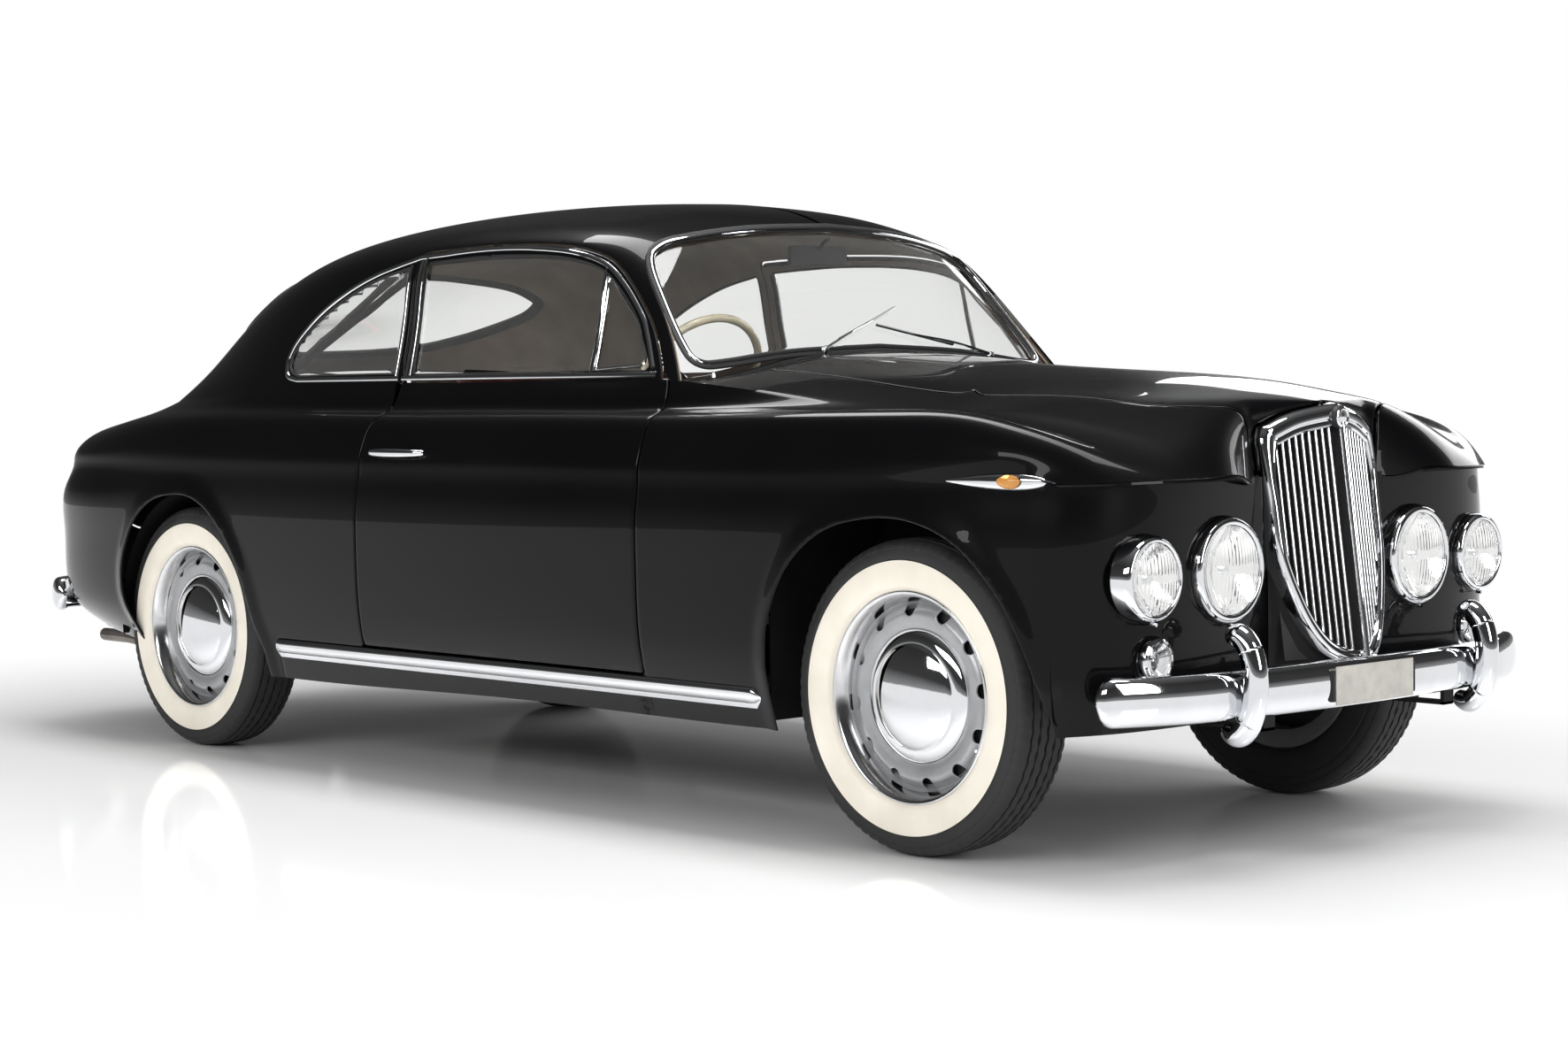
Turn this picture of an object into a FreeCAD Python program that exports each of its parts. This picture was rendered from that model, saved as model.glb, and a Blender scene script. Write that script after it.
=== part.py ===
"""Two-door fastback coupe of the 1950s, built from separate panels and running gear.

Units are millimetres. While the car is drawn, X = 0 lies midway between the axles,
+X points forward, +Y to the car's left and +Z up, with the floor at Z = 0.
"""
import FreeCAD, Part
import math
import os

V = FreeCAD.Vector

# Overall layout
WHEELBASE = 2860.0
TRACK_FRONT = 1291.0
TRACK_REAR = 1298.0
FRONT_REACH = 2165.0
REAR_REACH = 2430.0
ORIGIN_SHIFT = (REAR_REACH - FRONT_REACH)/2

# Clearances
SHUT_GAP = 5.0
REST_GAP = 0.3
RUN_GAP = 0.15

# Panel thicknesses
SKIN = 12.0
DOOR_WALL = 60.0
ROOF_WALL = 22.0
LID_WALL = 3.0
GLASS = 5.0

# Body side: plan line of the widest level, from the grille round to the tail
PLAN = [(1978, 170), (1990, 330), (1992, 470), (1975, 605), (1932, 700), (1870, 755),
        (1800, 772), (1700, 786), (1430, 797), (1050, 800), (660, 800), (100, 800),
        (-500, 800), (-1000, 799), (-1430, 795), (-1800, 778), (-2050, 748),
        (-2200, 696), (-2300, 590), (-2350, 420), (-2372, 210), (-2376, 0)]
LIP, COWL, TAIL = 5, 10, 21

# Heights of the levels below the waist, the lowest one varying along the car
LEVEL_HEIGHTS = [400.0, 600.0, 740.0, 812.0]

# At a plan point: height of the lower edge, then how far each level lies inside the plan line
LEVELS = [(0, 300, 25, 4, 0, 0, 0), (3, 300, 30, 6, 0, 0, 2), (5, 292, 45, 10, 0, 3, 10),
          (8, 262, 52, 12, 0, 3, 11), (11, 248, 54, 13, 0, 4, 12), (14, 256, 54, 13, 0, 4, 13),
          (15, 290, 80, 16, 0, 5, 20), (17, 312, 120, 20, 0, 8, 34),
          (19, 316, 130, 20, 0, 8, 38), (21, 318, 130, 20, 0, 8, 40)]

# Direction in which the surface leaves the waist: upwards, but forwards along the brow
RISE = (0, 0, 100)
ALONG_BROW = (70, 20, 0)

# Shoulder ribs: plan point, then outer shoulder, wing crest, inner ledge or valley, and belt
SHOULDER = [
    (5, ALONG_BROW, (1938, 700, 813), (1992, 625, 816), (2028, 540, 818), (2044, 440, 819)),
    (6, RISE, (1830, 752, 855), (1885, 692, 884), (1935, 612, 868), (1970, 500, 882)),
    (7, RISE, (1712, 775, 868), (1738, 726, 934), (1768, 650, 915), (1795, 555, 933)),
    (8, RISE, (1432, 780, 878), (1436, 732, 962), (1440, 645, 945), (1445, 545, 962)),
    (9, RISE, (1050, 779, 876), (1050, 736, 956), (1050, 668, 958), (1050, 600, 985)),
    (10, RISE, (660, 778, 872), (660, 744, 944), (660, 704, 967), (660, 684, 1030)),
    (11, RISE, (100, 778, 872), (100, 746, 942), (100, 708, 968), (100, 691, 1034)),
    (12, RISE, (-500, 778, 872), (-500, 745, 942), (-500, 708, 968), (-500, 690, 1036)),
    (13, RISE, (-1000, 777, 876), (-1000, 742, 946), (-1000, 704, 970), (-1000, 682, 1030)),
    (14, RISE, (-1430, 770, 884), (-1425, 730, 944), (-1420, 680, 968), (-1410, 640, 1000)),
    (15, RISE, (-1798, 745, 876), (-1785, 690, 932), (-1765, 625, 958), (-1740, 560, 990)),
    (17, RISE, (-2165, 640, 868), (-2110, 575, 912), (-2040, 505, 940), (-1960, 435, 975)),
    (19, RISE, (-2300, 375, 866), (-2240, 335, 915), (-2160, 295, 962), (-2080, 260, 1005)),
    (21, RISE, (-2340, 0, 862), (-2290, 0, 912), (-2215, 0, 970), (-2140, 0, 1022))]

# Bonnet ribs: plan point, then points from the belt line in to the centre
DECK = [
    (5, (2050, 330, 819), (2046, 225, 806), (2030, 110, 900), (2016, 0, 962)),
    (6, (1992, 385, 905), (2003, 262, 925), (2006, 130, 950), (2006, 0, 968)),
    (7, (1830, 435, 960), (1858, 295, 981), (1880, 148, 995), (1886, 0, 999)),
    (8, (1450, 430, 992), (1455, 300, 1015), (1458, 150, 1036), (1460, 0, 1044)),
    (9, (1050, 460, 1026), (1050, 310, 1048), (1050, 155, 1064), (1050, 0, 1070)),
    (10, (660, 520, 1050), (660, 350, 1078), (660, 175, 1095), (660, 0, 1100))]

# Greenhouse ribs: plan point, then points from the belt line up to the roof's centre line
ROOF = [
    (10, (548, 628, 1180), (418, 574, 1332), (418, 430, 1386), (452, 220, 1410), (467, 0, 1413)),
    (11, (100, 650, 1210), (100, 604, 1378), (110, 440, 1446), (125, 225, 1482), (130, 0, 1493)),
    (12, (-500, 650, 1210), (-500, 602, 1376), (-490, 445, 1452), (-480, 225, 1493), (-475, 0, 1506)),
    (13, (-1000, 634, 1190), (-985, 574, 1332), (-960, 430, 1415), (-935, 215, 1458), (-925, 0, 1471)),
    (14, (-1395, 582, 1120), (-1370, 508, 1242), (-1330, 384, 1336), (-1290, 195, 1390), (-1275, 0, 1406)),
    (15, (-1700, 485, 1070), (-1650, 405, 1160), (-1590, 300, 1240), (-1530, 155, 1290), (-1505, 0, 1306)),
    (17, (-1885, 370, 1045), (-1810, 300, 1120), (-1740, 220, 1180), (-1675, 112, 1222), (-1650, 0, 1238)),
    (19, (-1995, 215, 1066), (-1915, 172, 1124), (-1840, 127, 1168), (-1775, 65, 1196), (-1750, 0, 1206)),
    (21, (-2055, 0, 1080), (-1985, 0, 1116), (-1925, 0, 1145), (-1865, 0, 1170), (-1810, 0, 1190))]

# Spacing of the points up each kind of rib, in tenths of a metre
LOWER_STEPS = [0.0, 1.5, 3.5, 4.9, 5.6]
SHOULDER_STEPS = [0.0, 0.7, 1.5, 2.1, 2.8]
DECK_STEPS = [0.0, 1.2, 2.5, 3.9, 5.4]
ROOF_STEPS = [0.0, 1.6, 3.3, 5.0, 7.2, 9.4]
LEVEL_AT_WAIST = (0, 0, 100)
LEVEL_AT_CENTRE = (0, -110, 0)


class Spline:
    """Cubic spline through rows of numbers, natural or with given end slopes."""

    def __init__(self, knots, rows, start=None, end=None):
        n = len(knots)
        self.knots, self.rows = knots, rows
        gap = [b - a for a, b in zip(knots, knots[1:])]
        low, diag, high = [0.0]*n, [1.0]*n, [0.0]*n
        right = [[0.0]*len(rows[0]) for _ in rows]
        rise = [[(q - p)/g for p, q in zip(a, b)] for a, b, g in zip(rows, rows[1:], gap)]
        for i in range(1, n - 1):
            low[i], diag[i], high[i] = gap[i-1], 2*(gap[i-1] + gap[i]), gap[i]
            right[i] = [6*(q - p) for p, q in zip(rise[i-1], rise[i])]
        if start:
            diag[0], high[0] = 2*gap[0], gap[0]
            right[0] = [6*(q - p) for p, q in zip(start, rise[0])]
        if end:
            low[-1], diag[-1] = gap[-1], 2*gap[-1]
            right[-1] = [6*(q - p) for p, q in zip(rise[-1], end)]
        for i in range(1, n):
            f = low[i]/diag[i-1]
            diag[i] -= f*high[i-1]
            right[i] = [b - f*a for a, b in zip(right[i-1], right[i])]
        self.bend = [None]*n
        self.bend[-1] = [b/diag[-1] for b in right[-1]]
        for i in range(n - 2, -1, -1):
            self.bend[i] = [(b - high[i]*c)/diag[i] for b, c in zip(right[i], self.bend[i+1])]

    def at(self, t):
        k = self.knots
        i = max(0, min(len(k) - 2, sum(1 for a in k[1:-1] if t >= a)))
        g = k[i+1] - k[i]
        a, b = (k[i+1] - t)/g, (t - k[i])/g
        c, d = (a**3 - a)*g*g/6, (b**3 - b)*g*g/6
        return [a*p + b*q + c*m + d*n for p, q, m, n in
                zip(self.rows[i], self.rows[i+1], self.bend[i], self.bend[i+1])]


def chord_lengths(points):
    out = [0.0]
    for a, b in zip(points, points[1:]):
        out.append(out[-1] + math.dist(a, b))
    return out


STATIONS = chord_lengths(PLAN)
PLAN_LINE = Spline(STATIONS, [list(p) for p in PLAN])
LEVEL_LINE = Spline([STATIONS[r[0]] for r in LEVELS], [list(r[1:]) for r in LEVELS])


def lower_points(s):
    """Points of the rib below the waist at station s."""
    edge, *insets = LEVEL_LINE.at(s)
    x, y = PLAN_LINE.at(s)
    a = PLAN_LINE.at(max(STATIONS[0], s - 2))
    b = PLAN_LINE.at(min(STATIONS[-1], s + 2))
    length = math.dist(a, b)
    nx, ny = (b[1] - a[1])/length, (a[0] - b[0])/length
    return [[x - nx*i, y - ny*i, z] for i, z in zip(insets, [edge] + LEVEL_HEIGHTS)]


def waist(s):
    return lower_points(s)[-1]


def offsets(table, base):
    """Spline along the car of each rib's points, measured from the rib's first point."""
    rows = []
    for i, *points in table:
        o = base(STATIONS[i])
        rows.append([a - b for p in points for a, b in zip(p, o)])
    return Spline([STATIONS[r[0]] for r in table], rows)


SHOULDER_LINE = offsets([(r[0], *r[2:]) for r in SHOULDER], waist)
LEAVE_LINE = Spline([STATIONS[r[0]] for r in SHOULDER], [list(r[1]) for r in SHOULDER])


def lower_rib(s):
    return Spline(LOWER_STEPS, lower_points(s), end=LEVEL_AT_WAIST)


def rib(steps, base, line, s, **ends):
    off = line.at(s)
    points = [base] + [[b + d for b, d in zip(base, off[j:j+3])] for j in range(0, len(off), 3)]
    return Spline(steps, points, **ends)


def shoulder_rib(s):
    return rib(SHOULDER_STEPS, waist(s), SHOULDER_LINE, s, start=LEAVE_LINE.at(s))


def belt(s):
    return shoulder_rib(s).at(SHOULDER_STEPS[-1])


DECK_LINE = offsets(DECK, belt)
ROOF_LINE = offsets(ROOF, belt)


def deck_rib(s):
    return rib(DECK_STEPS, belt(s), DECK_LINE, s, end=LEVEL_AT_CENTRE)


def roof_rib(s):
    return rib(ROOF_STEPS, belt(s), ROOF_LINE, s)


# Rows of points up each rib at which a panel's section has its corners
LOWER_MARKS = [0.0, 0.9, 2.8, 5.6]
SHOULDER_MARKS = [0.5, 1.0, 1.6, 2.2, 2.8]
DECK_MARKS = [0.8, 1.8, 3.0, 4.2, 5.4]
ROOF_MARKS = [1.6, 2.7, 3.4, 4.4, 6.2, 9.4]


def station_at(x, low=0, high=TAIL):
    """Station along the plan line whose widest point has the given X."""
    a, b = STATIONS[low], STATIONS[high]
    for _ in range(40):
        m = (a + b)/2
        if PLAN_LINE.at(m)[0] > x:
            a = m
        else:
            b = m
    return (a + b)/2


# How far each half reaches past the centre plane, so that the two halves join
CENTRE_LAP = 0.5


def bare_points(s, parts):
    points = []
    for make, marks in parts:
        line = make(s)
        points += [V(*line.at(v)) for v in marks]
    return points


def rib_points(s, parts):
    points = bare_points(s, parts)
    return [p if p.y > 3.0 else V(p.x, -CENTRE_LAP, p.z) for p in points]


def inward(s, parts, step=6.0):
    """Unit vectors into the car at each point of a rib; along the brow they follow the rib behind."""
    first = STATIONS[LIP + 1] if len(parts) == 3 and s < STATIONS[COWL] else STATIONS[0] + step
    at = min(max(s, first), STATIONS[-1] - step)
    here, ahead = bare_points(at - step, parts), bare_points(at + step, parts)
    middle = bare_points(at, parts)
    out = []
    for i, (p, q) in enumerate(zip(here, ahead)):
        up = middle[min(i + 1, len(middle) - 1)] - middle[max(i - 1, 0)]
        n = up.cross(q - p)
        n.normalize()
        out.append(n)
    for i, p in enumerate(middle):
        if p.y < 3.0:
            n = out[i - 1] if i == len(middle) - 1 else out[i]
            out[i] = V(n.x, 0, n.z)
            out[i].normalize()
    return out


def triangle(a, b, c):
    return Part.Face(Part.makePolygon([a, b, c, a]))


def skinned(rings, round_trip=False):
    """Closed solid with flat faces through rings of the same count of points.

    On a round trip the last ring joins the first; otherwise flat caps close the two ends.
    """
    faces = []
    for ring, ahead in zip(rings, rings[1:] + rings[:1] if round_trip else rings[1:]):
        for i in range(len(ring)):
            j = (i + 1) % len(ring)
            for corners in ((ring[i], ahead[i], ahead[j]), (ring[i], ahead[j], ring[j])):
                if (corners[1] - corners[0]).cross(corners[2] - corners[0]).Length > 0.01:
                    faces.append(triangle(*corners))
    for ring in () if round_trip else (rings[0], rings[-1]):
        n = len(ring)
        for i in range(n//2 - 1):
            faces.append(triangle(ring[i], ring[i + 1], ring[n - 2 - i]))
            faces.append(triangle(ring[i], ring[n - 2 - i], ring[n - 1 - i]))
    shell = Part.makeShell(faces)
    shell.sewShape()
    solid = Part.makeSolid(shell)
    if solid.Volume < 0:
        solid.reverse()
    return solid


def wall(stations, parts, depth=SKIN, sideways=False, outset=0.0):
    """Solid through the ribs at the stations, depth thick, inside the body's surface."""
    rings = []
    for s in stations:
        outer = rib_points(s, parts)
        lean = [V(0, -1, 0)]*len(outer) if sideways else inward(s, parts)
        near = [p + n*outset for p, n in zip(outer, lean)]
        far = [p + n*(outset + depth) for p, n in zip(outer, lean)]
        rings.append(near + far[::-1])
    return skinned(rings)


def between(stations, shares):
    """The stations with more of them set in: shares[i] steps between station i and the next."""
    out = []
    for a, b, n in zip(stations, stations[1:], shares):
        out += [a + (b - a)*i/n for i in range(n)]
    return out + [stations[-1]]


def mirrored(shape):
    return shape.mirror(V(0, 0, 0), V(0, 1, 0))


def both(shape):
    return [shape, mirrored(shape)]


def join(shapes):
    first, *rest = shapes
    return first.multiFuse(rest).removeSplitter() if rest else first


def box(x0, x1, y0, y1, z0, z1):
    return Part.makeBox(x1 - x0, y1 - y0, z1 - z0, V(x0, y0, z0))


def rod(start, end, radius):
    axis = V(*end) - V(*start)
    return Part.makeCylinder(radius, axis.Length, V(*start), axis)


def bar(start, end, radius, sides=10):
    """Straight rod with flat facets."""
    axis = V(*end) - V(*start)
    length = axis.Length
    axis.normalize()
    side = axis.cross(V(0, 0, 1) if abs(axis.z) < 0.9 else V(1, 0, 0))
    side.normalize()
    up = side.cross(axis)
    ring = [side*(radius*math.cos(2*math.pi*k/sides)) + up*(radius*math.sin(2*math.pi*k/sides)) for k in range(sides)]
    return skinned([[V(*start) + r for r in ring], [V(*start) + axis*length + r for r in ring]])


def outline_face(points, smooth=False):
    vectors = [V(*p) for p in points]
    if smooth:
        curve = Part.BSplineCurve()
        curve.interpolate(Points=vectors, PeriodicFlag=True)
        return Part.Face(Part.Wire([curve.toShape()]))
    return Part.Face(Part.makePolygon(vectors + vectors[:1]))


def cut_y(points, y0, y1, smooth=False, grow=0.0):
    """Prism along Y from y0 to y1 whose outline is given as X, Z points."""
    face = outline_face([(x, y0, z) for x, z in points], smooth)
    if grow:
        face = face.makeOffset2D(grow)
    return face.extrude(V(0, y1 - y0, 0))


def cut_x(points, x0, x1, smooth=False, grow=0.0):
    """Prism along X from x0 to x1 whose outline is given as Y, Z points."""
    face = outline_face([(x0, y, z) for y, z in points], smooth)
    if grow:
        face = face.makeOffset2D(grow)
    return face.extrude(V(x1 - x0, 0, 0))


def cut_z(points, z0, z1, smooth=False, grow=0.0):
    """Prism along Z from z0 to z1 whose outline is given as X, Y points."""
    face = outline_face([(x, y, z0) for x, y in points], smooth)
    if grow:
        face = face.makeOffset2D(grow)
    return face.extrude(V(0, 0, z1 - z0))


def symmetric(half):
    """Closed outline from its half with Y >= 0, listed from centre to centre; Y comes first."""
    back = [(-a, b) for a, b in half[::-1] if a > 0]
    return list(half) + back


def turned(points, centre, axis, sides):
    """Solid of revolution in flat facets of (along, radius) points about an axis through the centre."""
    axis = V(*axis)
    up = V(0, 0, 1)
    across = axis.cross(up)
    rings = []
    for k in range(sides):
        out = up*math.cos(2*math.pi*k/sides) + across*math.sin(2*math.pi*k/sides)
        rings.append([V(*centre) + axis*a + out*r for a, r in points])
    return skinned(rings, round_trip=True)


# Shut lines and openings of the side, as X, Z outlines seen from the side
DOOR_FRONT, DOOR_REAR, DOOR_BOTTOM = 628.0, -497.0, 348.0
BELT_Z = 1036.0
DOOR_LOWER = [(DOOR_FRONT, DOOR_BOTTOM), (DOOR_FRONT, BELT_Z + 4), (-431, BELT_Z + 4),
              (-453, 975), (-481, 910), (-490, 831), (DOOR_REAR, 700), (DOOR_REAR, DOOR_BOTTOM)]
DOOR_FRAME = [(606, BELT_Z - 10), (595, 1058), (560, 1110), (507, 1180), (400, 1287), (310, 1338),
              (144, 1369), (-122, 1382), (-441, 1374), (-436, BELT_Z - 10)]
DOOR_PANE = [(560, 1056), (500, 1135), (470, 1180), (385, 1262), (300, 1312), (140, 1343),
             (-122, 1356), (-408, 1348), (-400, 1056)]
QUARTER_PANE = [(-470, 1058), (-474, 1340), (-620, 1312), (-757, 1268), (-880, 1212), (-966, 1150),
                (-996, 1100), (-975, 1068), (-930, 1056)]
VENT_POST = [(345, 1050), (334, 1328)]

# Wheel arches, as X, Z outlines
FRONT_ARCH = [(1062, 200), (1063, 397), (1085, 505), (1150, 620), (1260, 700), (1400, 732),
              (1530, 726), (1650, 680), (1745, 590), (1805, 490), (1838, 400), (1856, 330), (1866, 200)]
REAR_ARCH = [(-1670, 200), (-1690, 332), (-1716, 420), (-1712, 500), (-1685, 568), (-1620, 649),
             (-1518, 707), (-1401, 726), (-1304, 719), (-1211, 680), (-1121, 603), (-1051, 500),
             (-1010, 382), (-977, 309), (-960, 200)]

# Bonnet as a Y, X half outline seen from above; boot lid and rear window as Y, Z halves from behind
BONNET_HALF = [(0, 1996), (120, 1990), (240, 1962), (330, 1915), (385, 1850), (410, 1770), (440, 1400),
               (470, 760), (440, 742), (0, 742)]
BOOT_HALF = [(0, 1078), (300, 1070), (392, 1020), (425, 900), (415, 700), (350, 590), (0, 565)]
REAR_PANE_HALF = [(0, 1136), (250, 1144), (395, 1178), (472, 1228), (488, 1266), (462, 1300), (360, 1340),
                  (170, 1363), (0, 1367)]

# Outer edge of the grille's shell, as a Y, Z half outline
GRILLE_HALF = [(0, 967), (110, 948), (188, 918), (201, 886), (198, 809), (194, 752), (187, 632),
               (146, 511), (102, 443), (48, 411), (0, 405)]

# Wheels
FRONT_AXLE_X, REAR_AXLE_X = WHEELBASE/2, -WHEELBASE/2
TYRE_R = 344.0
WHEEL_Z = TYRE_R

# Windscreen: centre line and half widths of its lower and upper edges
SCREEN_LOW = (638.0, 1116.0)
SCREEN_HIGH = (466.0, 1409.0)
SCREEN_HALF_LOW, SCREEN_HALF_HIGH = 609.0, 556.0
SCREEN_DROP = 53.0
SCREEN_SWEEP_HIGH = 74.0
SCREEN_FRAME = 26.0


def screen_point(u, v, depth=0.0):
    """Point of the windscreen: u runs across from -1 to 1, v from its lower edge to its upper."""
    half = SCREEN_HALF_LOW + (SCREEN_HALF_HIGH - SCREEN_HALF_LOW)*v
    x = SCREEN_LOW[0] + (SCREEN_HIGH[0] - SCREEN_LOW[0])*v - SCREEN_SWEEP_HIGH*v*u*u
    z = SCREEN_LOW[1] + (SCREEN_HIGH[1] - SCREEN_LOW[1])*v - SCREEN_DROP*u*u
    return V(x - depth*0.86, half*u, z - depth*0.5)


def screen_sheet(reach, depth, outset):
    """Curved sheet on the windscreen's surface, reaching past its edges by a share of its size."""
    marks = [-reach + 2*reach*i/9 for i in range(10)]
    low, high = (1 - reach)/2, (1 + reach)/2
    rings = []
    for u in marks:
        rings.append([screen_point(u, low, outset), screen_point(u, high, outset),
                      screen_point(u, high, outset + depth), screen_point(u, low, outset + depth)])
    return skinned(rings)


def screen_at(y, z, depth):
    """Point at Y, Z on the sheet that lies depth inside the windscreen's surface."""
    u, v = 0.0, 0.5
    z += depth*0.5
    for _ in range(30):
        v = (z - SCREEN_LOW[1] + SCREEN_DROP*u*u)/(SCREEN_HIGH[1] - SCREEN_LOW[1])
        u = y/(SCREEN_HALF_LOW + (SCREEN_HALF_HIGH - SCREEN_HALF_LOW)*v)
    return screen_point(u, v, depth)


SCREEN_HALF = [(0, 1116), (300, 1103), (520, 1079), (590, 1078), (604, 1110), (585, 1220), (560, 1310),
               (520, 1350), (440, 1373), (250, 1398), (0, 1409)]

def height_at(y, row):
    """Height of a row of Y, Z points at y."""
    for (y0, z0), (y1, z1) in zip(row, row[1:]):
        if y0 <= y <= y1:
            return z0 + (z1 - z0)*(y - y0)/(y1 - y0)
    return row[-1][1]


def windscreen():
    """Curved pane from its lower to its upper edge, in strips across the car."""
    lower, upper = SCREEN_HALF[:5], SCREEN_HALF[:3:-1]
    half = [0, 150, 300, 430, 520, 560, 585, 596]
    rings = []
    for y in [-y for y in half[:0:-1]] + half:
        low = height_at(abs(y), lower) + 2*REST_GAP
        high = height_at(abs(y), upper) - 2*REST_GAP
        heights = [low + (high - low)*i/3 for i in range(4)]
        rings.append([screen_at(y, z, 6) for z in heights] + [screen_at(y, z, 6 + GLASS) for z in heights[::-1]])
    return skinned(rings)


FRONT_PARTS = [(lower_rib, LOWER_MARKS), (shoulder_rib, SHOULDER_MARKS), (deck_rib, DECK_MARKS)]
WING_PARTS = FRONT_PARTS[:2] + [(deck_rib, DECK_MARKS[:-1] + [5.35])]
SIDE_PARTS = [(lower_rib, LOWER_MARKS), (shoulder_rib, SHOULDER_MARKS)]
TAIL_PARTS = [(lower_rib, LOWER_MARKS), (shoulder_rib, SHOULDER_MARKS), (roof_rib, ROOF_MARKS)]
ROOF_PARTS = [(roof_rib, [0.0] + ROOF_MARKS)]
LAMP_PARTS = [(lower_rib, LOWER_MARKS)]

SILL_REAR_X = -1000.0
QUARTER_X = -460.0
FRONT_STATIONS = between([STATIONS[i] for i in (5, 6, 7, 8, 9)] + [station_at(DOOR_FRONT + SHUT_GAP)],
                         (2, 2, 2, 1, 1))
SIDE_STATIONS = [station_at(x) for x in (DOOR_FRONT, 400, 100, -200, -500, -750, SILL_REAR_X)]
TAIL_STATIONS = between([station_at(QUARTER_X)] + [STATIONS[i] for i in (13, 14, 15, 16, 17, 18, 19, 20, 21)],
                        (2, 2, 2, 2, 1, 1, 1, 1, 1))
ROOF_STATIONS = between([STATIONS[i] for i in (COWL, 11)] + [station_at(QUARTER_X + REST_GAP)], (4, 2))
LAMP_STATIONS = [STATIONS[i] for i in range(LIP + 1)]


# ---- Body panels ----

ARCH_INNER = 300.0
RIGHT_OF_CENTRE = box(-3000, 3000, -400, REST_GAP/2, 0, 2000)


def bonnet_prism(grow=0.0):
    outline = [(x, y) for y, x in symmetric(BONNET_HALF)]
    return cut_z(outline, 700, 1400, grow=grow)


def boot_prism(grow=0.0):
    return cut_x(symmetric(BOOT_HALF), -2500, -1850, grow=grow)


def rear_pane_prism(grow=0.0):
    return cut_x(symmetric(REAR_PANE_HALF), -2100, -1060, grow=grow)


def screen_prism(grow=0.0):
    return cut_x(symmetric(SCREEN_HALF), 300, 760, grow=grow)


def door_prism(grow=0.0):
    lower = cut_y(DOOR_LOWER, 400, 900, grow=grow)
    frame = cut_y(DOOR_FRAME, 400, 900, grow=grow)
    return lower.fuse(frame)


def carve(shape, *tools):
    for tool in tools:
        shape = shape.cut(tool)
    return shape


def largest(shape):
    return max(shape.Solids, key=lambda s: s.Volume)


# Lamps: centre of the front face, radius
LAMP_SIDES = 20
MAIN_LAMP = ((2011, 342, 622), 112)
DIP_LAMP = ((2008, 587, 616), 89)
PARKING_LAMP = ((2003, 565, 448), 48)
TAIL_LAMP = ((-2330, 560, 680), 42)


def lamp_hole(lamp, depth=140):
    (x, y, z), radius = lamp
    section = [(-depth, 0), (-depth, radius + REST_GAP), (60, radius + REST_GAP), (60, 0)]
    return turned(section, (x, y, z), (1, 0, 0), LAMP_SIDES)


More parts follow.
